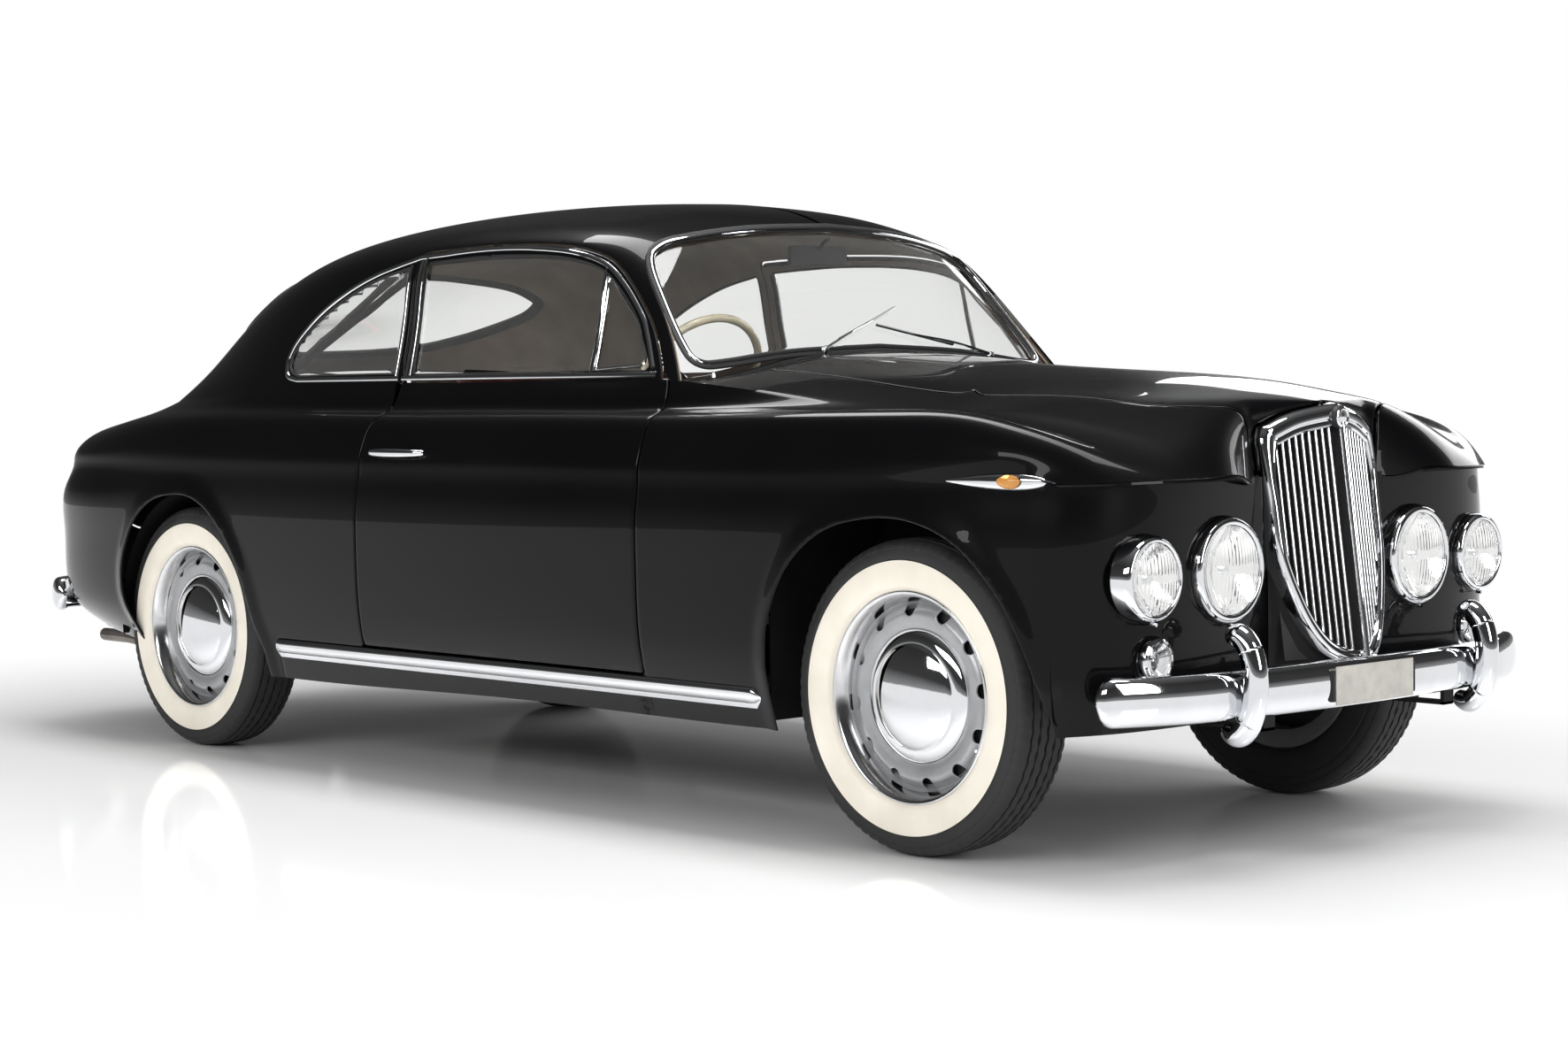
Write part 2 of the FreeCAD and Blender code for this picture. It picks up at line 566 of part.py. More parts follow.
def bodywork():
    """The outer panels as a dictionary of nodes."""
    front = wall(FRONT_STATIONS, FRONT_PARTS)
    side = wall(SIDE_STATIONS, SIDE_PARTS, DOOR_WALL, sideways=True)
    tail = wall(TAIL_STATIONS, TAIL_PARTS)
    roof = wall(ROOF_STATIONS, ROOF_PARTS, ROOF_WALL)
    lamp_panel = wall(LAMP_STATIONS, LAMP_PARTS)
    tail_holes = lamp_hole(TAIL_LAMP, 40)

    nodes = {}
    shell_gap = cut_x(symmetric(GRILLE_HALF), 1880, 2200, grow=SHUT_GAP)
    half = carve(front.common(bonnet_prism()), shell_gap)
    nodes["bonnet"] = join([half, mirrored(half)])
    arch = cut_y(FRONT_ARCH, ARCH_INNER, 900)
    wing = carve(wall(FRONT_STATIONS, WING_PARTS), bonnet_prism(SHUT_GAP), arch)
    nodes["front_wing_left"] = largest(wing)

    # Lamp panel: both sides, with a shelf under the brow and a valance under the grille
    first = len(LOWER_MARKS) - 1
    brow_row = rib_points(STATIONS[LIP], FRONT_PARTS)[first:first + len(SHOULDER_MARKS) + 4]
    panel_row = [rib_points(s, LAMP_PARTS)[-1] for s in LAMP_STATIONS][::-1]
    rings = []
    for i, lip in enumerate(brow_row):
        at = i*(len(panel_row) - 1)/(len(brow_row) - 1)
        k = min(int(at), len(panel_row) - 2)
        base = panel_row[k] + (panel_row[k + 1] - panel_row[k])*(at - k)
        reach = lip - base
        far = base + V(reach.x*0.86 - 8, reach.y*0.86, max(min(lip.z, base.z + 8), 780) - base.z)
        rings.append([base + V(-8, 0, -SKIN), far + V(0, 0, -SKIN), far, base + V(-8, 0, 0)])
    shelf = skinned(rings)
    valance = box(1950, 1964, -176, 176, 300, 392)
    one_side = lamp_panel.fuse(shelf)
    shell_room = cut_x(symmetric(GRILLE_HALF), 1880, 2200, grow=REST_GAP)
    one_side = carve(one_side, lamp_hole(MAIN_LAMP), lamp_hole(DIP_LAMP), lamp_hole(PARKING_LAMP), front, shell_room)
    nodes["nose_panel"] = join([one_side, mirrored(one_side), valance])
    nodes["front_wing_left"] = largest(carve(nodes["front_wing_left"], lamp_hole(DIP_LAMP), shell_room))

    # Doors, sills and rear quarters share the side wall
    sill_zone = box(-905, 640, 400, 900, 200, DOOR_BOTTOM - SHUT_GAP)
    nodes["sills"] = both(side.common(sill_zone))
    pane = cut_y(DOOR_PANE, 400, 900)
    post = cut_y([(VENT_POST[0][0] - 7, 1040), (VENT_POST[0][0] + 7, 1040),
                  (VENT_POST[1][0] + 7, 1345), (VENT_POST[1][0] - 7, 1345)], 400, 900)
    lower_door = side.common(cut_y(DOOR_LOWER, 400, 900))
    frame_zone = cut_y(DOOR_FRAME, 400, 900).cut(pane.cut(post))
    frame = roof.common(frame_zone)
    nodes["door_left"] = largest(lower_door.fuse(frame))
    glass = wall(ROOF_STATIONS, ROOF_PARTS, GLASS, outset=8)
    clear = cut_y(DOOR_PANE, 400, 900, grow=-REST_GAP).cut(
        cut_y([(VENT_POST[0][0] - 7.3, 1040), (VENT_POST[0][0] + 7.3, 1040),
               (VENT_POST[1][0] + 7.3, 1345), (VENT_POST[1][0] - 7.3, 1345)], 400, 900))
    nodes["door_glass_left"] = glass.common(clear)
    glass = wall(TAIL_STATIONS[:6], ROOF_PARTS, GLASS, outset=4)
    quarter_glass = glass.common(cut_y(QUARTER_PANE, 400, 900, grow=-REST_GAP))

    sill_seat = box(-905 - REST_GAP, 640, 400, 900, 200, DOOR_BOTTOM - SHUT_GAP + REST_GAP)
    arch = cut_y(REAR_ARCH, ARCH_INNER, 900)
    tyre_room = rod((REAR_AXLE_X, 500, WHEEL_Z), (REAR_AXLE_X, TRACK_REAR/2 + 95, WHEEL_Z), TYRE_R + 12)
    quarter = carve(tail, arch, tyre_room, rear_pane_prism(), boot_prism(SHUT_GAP), tail_holes, sill_seat,
                    door_prism(SHUT_GAP), cut_y(QUARTER_PANE, 400, 900))
    nodes["rear_quarter_left"] = largest(quarter.cut(RIGHT_OF_CENTRE))
    lid_skin = wall(TAIL_STATIONS, TAIL_PARTS, LID_WALL)
    nodes["boot_lid"] = lid_skin.fuse(mirrored(lid_skin)).common(boot_prism())

    # Roof with pillars and the windscreen's surround
    shell = carve(roof, door_prism(SHUT_GAP), screen_prism(4.0))
    ring = screen_sheet(1.12, 20, -5).common(screen_prism(SCREEN_FRAME)).cut(screen_prism())
    roof_node = shell.fuse(mirrored(shell)).fuse(ring)
    wing = nodes["front_wing_left"]
    roof_node = carve(roof_node, front, mirrored(front), side, mirrored(side), wing, mirrored(wing),
                      door_prism(SHUT_GAP), mirrored(door_prism(SHUT_GAP)))
    nodes["roof"] = largest(roof_node)
    nodes["windscreen"] = windscreen()
    rear_glass = wall(TAIL_STATIONS[3:], [(roof_rib, ROOF_MARKS)], GLASS, outset=4)
    rear_glass = join([rear_glass, mirrored(rear_glass)]).common(rear_pane_prism(-REST_GAP))
    nodes["rear_windows"] = [rear_glass] + both(quarter_glass)
    for name in ("front_wing", "rear_quarter", "door", "door_glass"):
        nodes[name + "_right"] = mirrored(nodes[name + "_left"])
    return nodes, front, side, tail


# ---- Floor, bulkheads and inner panels ----

FLOOR_Z, FLOOR_TOP = 262.0, 268.0
BULKHEAD_X = 1000.0
BOOT_FLOOR_Z = 430.0
APRON_Y = 352.0
REAR_APRON_Y = 545.0
RAIL_INNER_Y = 302.0


def floor_pan(sills):
    plates = [box(-904, 640, -720, 720, FLOOR_Z, FLOOR_TOP),
              box(-906, BULKHEAD_X + 6, -686, 686, FLOOR_Z, FLOOR_TOP),
              box(-900, BULKHEAD_X + 6, -110, 110, FLOOR_Z, 400),
              box(BULKHEAD_X, BULKHEAD_X + 6, -720, 720, FLOOR_Z, 900),
              box(700, BULKHEAD_X + 6, -700, 700, 894, 900),
              box(700, 706, -560, 560, 894, 1000),
              box(-906, -900, -686, 686, FLOOR_Z, BOOT_FLOOR_Z + 6),
              box(-2240, -900, -REAR_APRON_Y - 8, REAR_APRON_Y + 8, BOOT_FLOOR_Z, BOOT_FLOOR_Z + 6),
              box(-1650, -1060, -REAR_APRON_Y, REAR_APRON_Y, 930, 936)]
    for side in (-1, 1):
        def strip(x0, x1, y0, y1, z0, z1):
            low, high = sorted((side*y0, side*y1))
            return box(x0, x1, low, high, z0, z1)
        plates += [strip(BULKHEAD_X + 6, 1900, APRON_Y, APRON_Y + 8, 300, 800),
                   strip(BULKHEAD_X + 6, 1930, RAIL_INNER_Y, APRON_Y, 300, 400),
                   strip(BULKHEAD_X + 6, 1790, APRON_Y + 8, 690, 792, 798),
                   strip(-1850, -900, REAR_APRON_Y, REAR_APRON_Y + 8, 300, 936),
                   strip(-1750, -1010, REAR_APRON_Y + 8, 690, 766, 772)]
    tunnel = box(-910, BULKHEAD_X + 10, -102, 102, FLOOR_Z - 1, 392)
    axle = rod((REAR_AXLE_X, -700, WHEEL_Z), (REAR_AXLE_X, 700, WHEEL_Z), 62)
    slot = box(REAR_AXLE_X - 62, REAR_AXLE_X + 62, -700, 700, 290, WHEEL_Z)
    room = [s.translated(V(0, -REST_GAP if s.BoundBox.Center.y > 0 else REST_GAP, 0)) for s in sills]
    return carve(join(plates), tunnel, axle, slot, *room)


# ---- Wheels, tyres, knuckles, suspension and axle ----

KINGPIN_Y = 575.0
STUB_R = 14.0
STUB_REACH = 15.0
BEAD_R = 216.0

# Half section of a tyre as (across, radius): outside, then the hollow inside
TYRE_SECTION = [(-61, BEAD_R), (-76, 240), (-82.5, 285), (-73, 324), (-50, TYRE_R), (50, TYRE_R),
                (73, 324), (82.5, 285), (76, 240), (61, BEAD_R)]
WHEEL_SECTION = [(-35, 0), (74, 0), (66, 80), (48, 142), (38, 152), (38, 180), (22, 200), (64, 228),
                 (60.7, BEAD_R - REST_GAP), (-60.7, BEAD_R - REST_GAP), (-64, 228), (-58, 206), (12, 198),
                 (26, 150), (26, 50), (-35, 34)]
WHEEL_SIDES = 30
BORE_DEPTH = 22.0


def turned_across(section, centre, outward):
    """Revolve of an (across, radius) section about the axle line; outward is +1 or -1 along Y."""
    return turned(section, centre, (0, outward, 0), WHEEL_SIDES)


def wheels():
    nodes = {}
    for end, x, track in (("front", FRONT_AXLE_X, TRACK_FRONT), ("rear", REAR_AXLE_X, TRACK_REAR)):
        for side, sign in (("left", 1), ("right", -1)):
            centre = (x, sign*track/2, WHEEL_Z)
            x, y, z = centre
            bore = rod((x, y - sign*40, z), (x, y + sign*BORE_DEPTH, z), STUB_R + RUN_GAP)
            nodes["wheel_%s_%s" % (end, side)] = turned_across(WHEEL_SECTION, centre, sign).cut(bore)
            nodes["tyre_%s_%s" % (end, side)] = turned_across(TYRE_SECTION, centre, sign)
    return nodes


PIN_LOW, PIN_HIGH = 240.0, 450.0
ARM_DEPTH = 18.0


def knuckle():
    x, y = FRONT_AXLE_X, KINGPIN_Y
    hub_y = TRACK_FRONT/2
    return join([rod((x, y, PIN_LOW), (x, y, PIN_HIGH), STUB_R),
                 bar((x, y, PIN_LOW + ARM_DEPTH + SHUT_GAP), (x, y, PIN_HIGH - ARM_DEPTH - SHUT_GAP), 24, 8),
                 rod((x, y, WHEEL_Z), (x, hub_y + STUB_REACH, WHEEL_Z), STUB_R),
                 bar((x, y + 20, WHEEL_Z), (x, y + 29, WHEEL_Z), 75, 16)])


def suspension_arm(low, inner_y):
    x, y = FRONT_AXLE_X, KINGPIN_Y
    arm = join([box(x - 30, x + 30, inner_y, y, low, low + ARM_DEPTH),
                Part.makeCylinder(30, ARM_DEPTH, V(x, y, low))])
    return arm.cut(Part.makeCylinder(STUB_R + RUN_GAP, ARM_DEPTH + 2, V(x, y, low - 1)))


def front_suspension():
    x = FRONT_AXLE_X
    beam = box(x - 60, x + 60, -APRON_Y, APRON_Y, PIN_LOW, 300 - REST_GAP)
    lower = suspension_arm(PIN_LOW, APRON_Y - 2)
    upper = suspension_arm(PIN_HIGH - ARM_DEPTH, APRON_Y + 8 + REST_GAP)
    return [join([beam] + both(lower))] + both(upper)


def rear_axle():
    x, y = REAR_AXLE_X, TRACK_REAR/2
    return join([bar((x, -590, WHEEL_Z), (x, 590, WHEEL_Z), 38, 12),
                 rod((x, -y - STUB_REACH, WHEEL_Z), (x, y + STUB_REACH, WHEEL_Z), STUB_R),
                 bar((x - 60, 0, WHEEL_Z), (x + 60, 0, WHEEL_Z), 70, 12),
                 bar((x, 590, WHEEL_Z), (x, 600, WHEEL_Z), 75, 16),
                 bar((x, -600, WHEEL_Z), (x, -590, WHEEL_Z), 75, 16)])


def rear_springs():
    x = REAR_AXLE_X
    seat = WHEEL_Z - 38 - REST_GAP
    leaf = join([box(x - 370, x + 370, 470, 520, seat - 16, seat),
                 box(x - 370, x - 356, 480, 510, seat - 16, BOOT_FLOOR_Z - REST_GAP),
                 box(x + 356, x + 370, 480, 510, seat - 16, BOOT_FLOOR_Z - REST_GAP)])
    return both(leaf)


def exhaust():
    route = [(1000, -180, 215), (-1000, -180, 215), (-1800, -430, 215), (-2250, -450, 250), (-2400, -450, 250)]
    pipes = [bar(a, b, 20) for a, b in zip(route, route[1:])]
    return join(pipes + [bar((-250, -180, 213.7), (-800, -180, 213.7), 48, 12)])


# ---- Grille, bumpers, lamps and trim ----

GRILLE_CENTRE_LOW, GRILLE_CENTRE_HIGH = (2105.0, 422.0), (2041.0, 909.0)
GRILLE_VEE = 0.31
GRILLE_FRAME = 26.0
SLAT_PITCH, SLAT_WIDTH = 17.5, 5.0
SLAT_COUNT = 10


def grille_slab(front, depth, reach=260.0):
    """Slab raked and swept back each side of the centre, its face standing front ahead."""
    (x0, z0), (x1, z1) = GRILLE_CENTRE_LOW, GRILLE_CENTRE_HIGH
    slope = (x1 - x0)/(z1 - z0)
    low, high = 380.0, 1000.0
    base = x0 + slope*(low - z0) + front
    corners = [(base, 0), (base - GRILLE_VEE*reach, reach), (base - GRILLE_VEE*reach - depth, reach),
               (base - depth, 0)]
    half = outline_face([(x, y, low) for x, y in corners]).extrude(V(slope*(high - low), 0, high - low))
    return half.fuse(mirrored(half)).removeSplitter()


def grille():
    outer = cut_x(symmetric(GRILLE_HALF), 1900, 2200)
    inner = cut_x(symmetric(GRILLE_HALF), 1890, 2210, grow=-GRILLE_FRAME)
    frame = grille_slab(0, 46).common(outer.cut(inner))
    rib = grille_slab(6, 40).common(outer).common(box(1900, 2200, -9, 9, 420, 925))
    opening = cut_x(symmetric(GRILLE_HALF), 1890, 2210, grow=-GRILLE_FRAME - REST_GAP)
    slab = grille_slab(-8, 26).common(opening).cut(box(2085, 2200, -300, 300, 300, 426))
    blades = []
    for k in range(SLAT_COUNT):
        y = 9 + REST_GAP + SLAT_PITCH*(k + 1) - SLAT_WIDTH
        blade = slab.common(box(1900, 2200, y, y + SLAT_WIDTH, 380, 1000))
        blades += [s for s in blade.Solids if s.Volume > 100]
    over_bar = box(2085, 2200, -300, 300, 300, 426)
    return frame.fuse(rib).cut(over_bar), [b for blade in blades for b in both(blade)]


FRONT_BUMPER = [(0, 2125), (130, 2124), (250, 2120), (350, 2114), (450, 2105), (540, 2088), (620, 2062),
                (690, 2032), (750, 1999)]
REAR_BUMPER = [(0, -2430), (250, -2424), (450, -2402), (560, -2374), (640, -2335), (700, -2280), (730, -2200)]
BUMPER_WALL = 10.0


def bumper(plan, low, high, sign):
    """Bar bent in plan; its upper and lower edges turn back towards the car."""
    inset = 14.0
    def band(shift, z0, z1):
        outer = [(x - sign*shift, y) for y, x in plan]
        inner = [(x - sign*(shift + BUMPER_WALL), y) for y, x in plan]
        half = outline_face([(x, y, z0) for x, y in outer + inner[::-1]]).extrude(V(0, 0, z1 - z0))
        return half.fuse(mirrored(half))
    def lip(z0, z1):
        outer = [(x - sign*6, y) for y, x in plan]
        inner = [(x - sign*34, y) for y, x in plan]
        half = outline_face([(x, y, z0) for x, y in outer + inner[::-1]]).extrude(V(0, 0, z1 - z0))
        return half.fuse(mirrored(half))
    return join([band(0, low + inset, high - inset), band(5, low + 2, low + inset), band(5, high - inset, high - 2),
                 lip(low, low + 8), lip(high - 8, high)])


OVERRIDER = [(2074, 514), (2104, 508), (2140, 470), (2157, 426), (2150, 370), (2126, 310), (2097, 272),
             (2031, 297), (2060, 330), (2080, 380), (2085, 440), (2066, 500)]
OVERRIDER_Y, OVERRIDER_HALF = 420.0, 30.0
PLATE_HALF_WIDTH, PLATE_THICK = 140.0, 2.0


def front_bumper():
    bar = bumper(FRONT_BUMPER, 322, 424, 1)
    guard = cut_y(OVERRIDER, OVERRIDER_Y - OVERRIDER_HALF, OVERRIDER_Y + OVERRIDER_HALF)
    top = 300 - REST_GAP
    bracket = join([box(1880, 2108, 306, 346, top - 8, top), box(2098, 2108, 306, 346, top - 8, 335)])
    plate = box(2124, 2130, -PLATE_HALF_WIDTH, PLATE_HALF_WIDTH, 322, 412)
    return join([bar, plate] + both(guard) + both(bracket))


def rear_bumper(tail):
    bar = bumper(REAR_BUMPER, 350, 450, -1)
    guard = cut_y([(-(x + 300), z + 27) for x, z in OVERRIDER], OVERRIDER_Y - 30, OVERRIDER_Y + 30)
    bracket = box(-2420, -2320, 300, 340, 396, 412)
    return largest(carve(join([bar] + both(guard) + both(bracket)), tail, mirrored(tail)))


def lamp(lamp_data, body=46.0, dome=14.0):
    (x, y, z), r = lamp_data
    ring = min(13.0, r*0.2)
    section = [(-body, 0), (-body, r), (0, r), (0, r - ring), (dome*0.75, r*0.45), (dome, 0)]
    return turned(section, (x, y, z), (1, 0, 0), LAMP_SIDES)


# Bead along the crest of the front wing: X, Y and radius down its length
POD = [(1606, 793, 3), (1630, 792, 12), (1700, 788, 14), (1800, 776, 14), (1870, 759, 13), (1900, 744, 10),
       (1909, 739, 3)]
POD_Z = 815.0


def side_pod(front):
    rings = [[V(x, y + r*math.cos(math.pi*i/4), POD_Z + r*math.sin(math.pi*i/4)) for i in range(8)]
             for x, y, r in POD]
    return largest(skinned(rings).cut(front))


def tail_lamp(tail):
    (x, y, z), r = TAIL_LAMP
    section = [(-60, 0), (-60, r), (10, r), (20, r*0.5), (24, 0)]
    return turned(section, (x, y, z), (-1, 0, 0), LAMP_SIDES)


STRIP_THICK, STRIP_GAP = 6.0, 0.5


def sill_strips():
    stations = [station_at(1026)] + SIDE_STATIONS[:-1] + [station_at(-923)]
    strip = wall(stations, [(lower_rib, [0.42, 0.93])], STRIP_THICK, outset=-STRIP_THICK - STRIP_GAP)
    return both(strip)


def door_handle():
    bar = box(-442, -212, 806, 820, 846, 864)
    feet = [box(-430, -410, 765, 806, 848, 862), box(-244, -224, 765, 806, 848, 862)]
    return join([bar] + feet)


def wipers():
    arms = []
    for a, b, lift in (((-0.12, 0.0), (-0.62, 0.30), 0.6), ((0.52, 0.0), (0.02, 0.30), 1.9)):
        start, end = screen_point(a[0], a[1], -9.4), screen_point(b[0], b[1], lift)
        arms.append(bar(tuple(start), tuple(end), 4, 6))
    return arms


# ---- Cabin and engine ----

SEAT_Y, SEAT_HALF = 340.0, 225.0
COLUMN_TILT = math.radians(30)
STEERING_CENTRE = (338.0, -350.0, 1012.0)
STEERING_R = 205.0


def softened(shape, radius):
    edges = [e for e in shape.Edges if e.Length > 4*radius]
    try:
        return shape.makeFillet(radius, edges)
    except Exception:
        return shape


def front_seats():
    cushion = [(-360, 330), (180, 330), (190, 500), (120, 535), (-330, 510)]
    back = [(-330, 500), (-200, 520), (-300, 900), (-340, 985), (-400, 985), (-430, 900)]
    one = join([cut_y(cushion, SEAT_Y - SEAT_HALF, SEAT_Y + SEAT_HALF),
                cut_y(back, SEAT_Y - SEAT_HALF, SEAT_Y + SEAT_HALF)])
    feet = [box(-330, 150, SEAT_Y + d - 15, SEAT_Y + d + 15, FLOOR_TOP + REST_GAP, 335) for d in (-180, 180)]
    return both(join([one] + feet))


def rear_bench():
    cushion = [(-880, FLOOR_TOP + 190), (-520, FLOOR_TOP + 150), (-500, 520), (-540, 545), (-860, 510)]
    back = [(-960, 480), (-840, 500), (-930, 860), (-980, 915), (-1030, 915), (-1050, 870)]
    plinth = [(-890, FLOOR_TOP + REST_GAP), (-540, FLOOR_TOP + REST_GAP), (-540, 430), (-890, 470)]
    half = REAR_APRON_Y - 12
    return join([cut_y(cushion, -half, half), cut_y(back, -half, half),
                 cut_y(plinth, -half, -118), cut_y(plinth, 118, half)])


def dashboard():
    section = [(520, 880), (528, 985), (560, 1015), (640, 1020), (699.7, 990), (699.7, 905), (600, 895), (560, 862)]
    return cut_y(section, -590, 590)


def steering_wheel():
    tilt = FreeCAD.Rotation(V(0, 1, 0), math.degrees(COLUMN_TILT))
    rim = [(math.cos(math.pi*i/3)*12, STEERING_R + math.sin(math.pi*i/3)*12) for i in range(6)]
    ring = turned(rim, (0, 0, 0), (1, 0, 0), 24)
    hub = bar((-14, 0, 0), (26, 0, 0), 38, 12)
    spokes = box(-5, 5, -STEERING_R, STEERING_R, -9, 9)
    column = bar((0, 0, 0), (225, 0, 0), 20, 8)
    whole = join([ring, hub, spokes, column])
    whole.Placement = FreeCAD.Placement(V(*STEERING_CENTRE), tilt)
    return whole


def mirror_glass(screen):
    head = box(414, 428, -105, 105, 1318, 1372)
    stalk = bar((424, 0, 1365), (470, 0, 1392), 6, 6)
    return largest(join([head, stalk]).cut(screen))


def engine():
    return box(1150, 1700, -210, 210, 300, 880)


def radiator():
    return box(1850, 1900, -310, 310, 400 + REST_GAP, 860)


# ---- Export ----

def export(nodes, folder="parts"):
    os.makedirs(folder, exist_ok=True)
    for old in os.listdir(folder):
        if old.endswith(".step"):
            os.remove(os.path.join(folder, old))
    for name, shape in sorted(nodes.items()):
        solids = []
        for piece in (shape if isinstance(shape, list) else [shape]):
            solids += piece.Solids
        placed = [s.translated(V(ORIGIN_SHIFT, 0, 0)) for s in solids]
        whole = placed[0] if len(placed) == 1 else Part.makeCompound(placed)
        whole.exportStep(os.path.join(folder, name + ".step"))
        print(name, len(placed), [s.isValid() for s in placed].count(False), whole.BoundBox)


def main():
    nodes, front, side, tail = bodywork()
    nodes["floor_pan"] = floor_pan(nodes["sills"])
    nodes.update(wheels())
    nodes["knuckle_left"] = knuckle()
    nodes["knuckle_right"] = mirrored(nodes["knuckle_left"])
    nodes["front_suspension"] = front_suspension()
    nodes["rear_axle"] = rear_axle()
    nodes["rear_springs"] = rear_springs()
    nodes["exhaust"] = exhaust()
    nodes["grille_frame"], nodes["grille_slats"] = grille()
    nodes["front_bumper"] = front_bumper()
    nodes["rear_bumper"] = rear_bumper(tail)
    nodes["headlamps"] = both(lamp(MAIN_LAMP)) + both(lamp(DIP_LAMP))
    tail_pair = both(tail_lamp(tail))
    nodes["marker_lamps"] = both(lamp(PARKING_LAMP, 30, 10)) + both(side_pod(front)) + tail_pair
    nodes["sill_strips"] = sill_strips()
    nodes["door_handle_left"] = door_handle().cut(nodes["door_left"])
    nodes["door_handle_right"] = mirrored(nodes["door_handle_left"])
    nodes["wipers"] = wipers()
    nodes["front_seats"] = front_seats()
    nodes["rear_bench"] = rear_bench()
    wheel = steering_wheel()
    nodes["steering_wheel"] = wheel
    nodes["dashboard"] = dashboard().cut(wheel)
    nodes["mirror"] = mirror_glass(nodes["windscreen"])
    nodes["engine"] = engine()
    nodes["radiator"] = radiator()
    nodes["front_wing_right"] = mirrored(nodes["front_wing_left"])
    export(nodes)


main()
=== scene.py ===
"""Blender scene of the fastback coupe: paint, chrome, glass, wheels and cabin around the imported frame.

Lengths are millimetres in the car's own frame, as in the part's source: X = 0 lies midway between
the axles, +X forwards, +Y to the left, +Z up. M() turns them into the frame's metres.
"""
import math

import bmesh
import bpy
import numpy as np
from mathutils import Matrix, Vector
from mathutils.bvhtree import BVHTree


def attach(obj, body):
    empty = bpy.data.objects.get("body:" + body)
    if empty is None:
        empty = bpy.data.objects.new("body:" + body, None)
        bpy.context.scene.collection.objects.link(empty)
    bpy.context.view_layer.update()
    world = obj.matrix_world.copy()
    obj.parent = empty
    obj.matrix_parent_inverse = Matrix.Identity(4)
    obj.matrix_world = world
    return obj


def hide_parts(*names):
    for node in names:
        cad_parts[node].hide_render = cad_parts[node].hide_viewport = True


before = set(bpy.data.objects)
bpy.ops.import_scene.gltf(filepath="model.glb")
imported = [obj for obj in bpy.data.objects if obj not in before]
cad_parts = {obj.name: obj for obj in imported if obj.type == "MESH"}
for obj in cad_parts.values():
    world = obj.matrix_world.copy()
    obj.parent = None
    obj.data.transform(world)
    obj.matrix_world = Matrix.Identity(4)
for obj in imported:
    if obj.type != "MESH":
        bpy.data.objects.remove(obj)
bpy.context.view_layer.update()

ORIGIN_SHIFT = 132.5
WHEELBASE = 2860.0
TRACK_FRONT, TRACK_REAR = 1291.0, 1298.0
WHEEL_Z = 344.0
SHUT_GAP = 5.0
SIDES = (("left", 1), ("right", -1))


def M(p):
    return ((p[0] + ORIGIN_SHIFT)/1000, p[1]/1000, p[2]/1000)


# Body side: plan line of the widest level, from the grille round to the tail
PLAN = [(1978, 170), (1990, 330), (1992, 470), (1975, 605), (1932, 700), (1870, 755),
        (1800, 772), (1700, 786), (1430, 797), (1050, 800), (660, 800), (100, 800),
        (-500, 800), (-1000, 799), (-1430, 795), (-1800, 778), (-2050, 748),
        (-2200, 696), (-2300, 590), (-2350, 420), (-2372, 210), (-2376, 0)]
LIP, COWL, TAIL = 5, 10, 21

# Heights of the levels below the waist, the lowest one varying along the car
LEVEL_HEIGHTS = [400.0, 600.0, 740.0, 812.0]

# At a plan point: height of the lower edge, then how far each level lies inside the plan line
LEVELS = [(0, 300, 25, 4, 0, 0, 0), (3, 300, 30, 6, 0, 0, 2), (5, 292, 45, 10, 0, 3, 10),
          (8, 262, 52, 12, 0, 3, 11), (11, 248, 54, 13, 0, 4, 12), (14, 256, 54, 13, 0, 4, 13),
          (15, 290, 80, 16, 0, 5, 20), (17, 312, 120, 20, 0, 8, 34),
          (19, 316, 130, 20, 0, 8, 38), (21, 318, 130, 20, 0, 8, 40)]

# Direction in which the surface leaves the waist: upwards, but forwards along the brow
RISE = (0, 0, 100)
ALONG_BROW = (70, 20, 0)

# Shoulder ribs: plan point, then outer shoulder, wing crest, inner ledge or valley, and belt
SHOULDER = [
    (5, ALONG_BROW, (1938, 700, 813), (1992, 625, 816), (2028, 540, 818), (2044, 440, 819)),
    (6, RISE, (1830, 752, 855), (1885, 692, 884), (1935, 612, 868), (1970, 500, 882)),
    (7, RISE, (1712, 775, 868), (1738, 726, 934), (1768, 650, 915), (1795, 555, 933)),
    (8, RISE, (1432, 780, 878), (1436, 732, 962), (1440, 645, 945), (1445, 545, 962)),
    (9, RISE, (1050, 779, 876), (1050, 736, 956), (1050, 668, 958), (1050, 600, 985)),
    (10, RISE, (660, 778, 872), (660, 744, 944), (660, 704, 967), (660, 684, 1030)),
    (11, RISE, (100, 778, 872), (100, 746, 942), (100, 708, 968), (100, 691, 1034)),
    (12, RISE, (-500, 778, 872), (-500, 745, 942), (-500, 708, 968), (-500, 690, 1036)),
    (13, RISE, (-1000, 777, 876), (-1000, 742, 946), (-1000, 704, 970), (-1000, 682, 1030)),
    (14, RISE, (-1430, 770, 884), (-1425, 730, 944), (-1420, 680, 968), (-1410, 640, 1000)),
    (15, RISE, (-1798, 745, 876), (-1785, 690, 932), (-1765, 625, 958), (-1740, 560, 990)),
    (17, RISE, (-2165, 640, 868), (-2110, 575, 912), (-2040, 505, 940), (-1960, 435, 975)),
    (19, RISE, (-2300, 375, 866), (-2240, 335, 915), (-2160, 295, 962), (-2080, 260, 1005)),
    (21, RISE, (-2340, 0, 862), (-2290, 0, 912), (-2215, 0, 970), (-2140, 0, 1022))]

